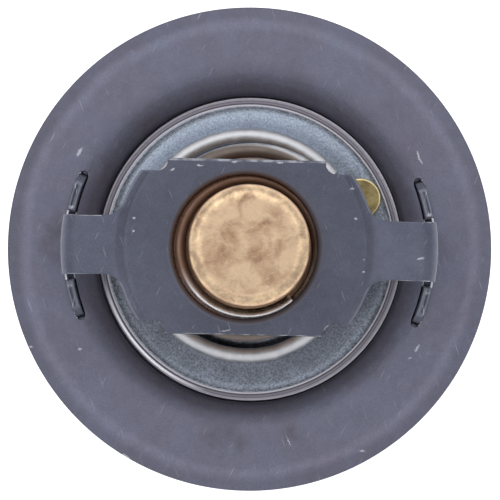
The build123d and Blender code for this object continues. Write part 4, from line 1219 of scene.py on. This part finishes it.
# the pieces that keep their plain solids, each with its finish
turned_brass = tarnished_brass("turned_brass_guide", "#cdb079", "#9c8150", 0.3)
for node, material in (
        ("guide_body", turned_brass),
        ("pin_weight", turned_brass),
        ("piston", turned_steel("ground_stainless_piston", "#c9c9cc", 0.2)),
        ("retaining_clip", turned_steel("oiled_spring_steel_clip", "#6d6d72", 0.35)),
        ("wax_charge", moulded("cast_wax", "#9a8055", 0.6, 0.8)),
        ("diaphragm", moulded("moulded_rubber_diaphragm", "#1d1d1f", 0.6, 0.5)),
        ("transfer_plug", moulded("moulded_rubber_plug", "#202022", 0.6, 0.5)),
        ("wiper_seal", moulded("moulded_rubber_seal", "#242426", 0.55, 0.4)),
        ("anti_extrusion_disc", moulded("fluoropolymer_disc", "#e4e4e0", 0.45, 0.6))):
    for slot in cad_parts[node].material_slots:
        slot.material = material

# ---------------------------------------------------------------- floor, light and camera
FLOOR_Z = CAD_BOX[0][2] - 0.5 * MM             # just below the part, in metres
FLOOR_HALF = 3.0           # in metres
# the paper's glow fades between these two radii: a painted shadow under the part
PAPER_SHADED_R = 25.5      # up to here the paper shows only the light that falls on it,
PAPER_OPEN_R = 34.6        # and from here on it is as white as the backdrop
CAMERA_HEIGHT = 480.0      # above the flange's face
CAMERA_DROP = 4.5          # the camera stands a little below the part's centre
CAMERA_ROLL = 1.25         # degrees
VIEW_WIDTH = 69.2          # the view's width at the flange's face
SENSOR_W = 36.0
SOFTBOX_AT = (-0.15, 0.40, 1.15)               # high above the part and towards its +Y side, in metres
SOFTBOX_SIZE = 1.0         # in metres
SOFTBOX_LEVEL = 0.95       # its brightness as seen
AIM = Vector((0.07, -0.14, FACE_Z))

corners = [(-FLOOR_HALF, -FLOOR_HALF, 0), (FLOOR_HALF, -FLOOR_HALF, 0),
           (FLOOR_HALF, FLOOR_HALF, 0), (-FLOOR_HALF, FLOOR_HALF, 0)]
floor_mesh = bpy.data.meshes.new("floor")
floor_mesh.from_pydata(corners, [], [(0, 1, 2, 3)])
floor = bpy.data.objects.new("floor", floor_mesh)
floor.location.z = FLOOR_Z
bpy.context.collection.objects.link(floor)


def white_paper():
    """Plain white paper, which shows as white to the eye and in reflections; under the part its glow fades
    out, a painted shadow over the real one."""
    material, tree, shader, place = new_material("white_paper", Base_Color=linear("#f4f4f4"), Roughness=0.9)
    rays = add(tree, "LightPath").node.outputs
    seen = rays["Is Camera Ray"]
    for ray in ("Is Glossy Ray", "Is Transmission Ray"):
        seen = add(tree, "Math", {0: seen, 1: rays[ray]}, operation="MAXIMUM")
    away = axis_distance(tree, place)
    open_paper = add(tree, "MapRange", {0: away, 1: PAPER_SHADED_R * MM, 2: PAPER_OPEN_R * MM, 4: 0.8},
                     interpolation_type="SMOOTHSTEP")
    seen = add(tree, "Math", {0: seen, 1: open_paper}, operation="MULTIPLY")
    glow = add(tree, "Emission", {"Strength": seen})
    both = add(tree, "AddShader", {0: shader.outputs[0], 1: glow})
    tree.links.new(both, tree.nodes["Material Output"].inputs["Surface"])
    return material


floor.data.materials.append(white_paper())

# a pale, slightly cool sky lights the part all round, and shows as white behind it
world = bpy.data.worlds.new("studio")
bpy.context.scene.world = world
world.use_nodes = True
to_eye = add(world.node_tree, "LightPath", output="Is Camera Ray")
sky = add(world.node_tree, "Mix", {0: to_eye, 6: (0.84, 0.865, 0.9, 1.0), 7: (1.0, 1.0, 1.0, 1.0)}, 2,
          data_type="RGBA")
world.node_tree.links.new(sky, world.node_tree.nodes["Background"].inputs["Color"])

# one square softbox that faces the part
lamp = bpy.data.lights.new("overhead", "AREA")
lamp.size = SOFTBOX_SIZE
lamp.energy = SOFTBOX_LEVEL * math.pi * SOFTBOX_SIZE * SOFTBOX_SIZE
softbox = bpy.data.objects.new("overhead", lamp)
softbox.location = SOFTBOX_AT
softbox.rotation_euler = Vector(SOFTBOX_AT).to_track_quat("Z", "Y").to_euler()
bpy.context.collection.objects.link(softbox)

camera_data = bpy.data.cameras.new("camera")
camera_data.sensor_width = SENSOR_W
camera_data.lens = SENSOR_W * CAMERA_HEIGHT / VIEW_WIDTH
camera_data.clip_start = 0.01
camera = bpy.data.objects.new("camera", camera_data)
camera.location = (AIM + Vector((0.0, -CAMERA_DROP, CAMERA_HEIGHT))) * MM
camera.rotation_euler = (camera.location - AIM * MM).to_track_quat("Z", "Y").to_euler()
camera.rotation_euler.rotate_axis("Z", math.radians(CAMERA_ROLL))
bpy.context.collection.objects.link(camera)
bpy.context.scene.camera = camera
bpy.context.scene.view_settings.view_transform = "Standard"
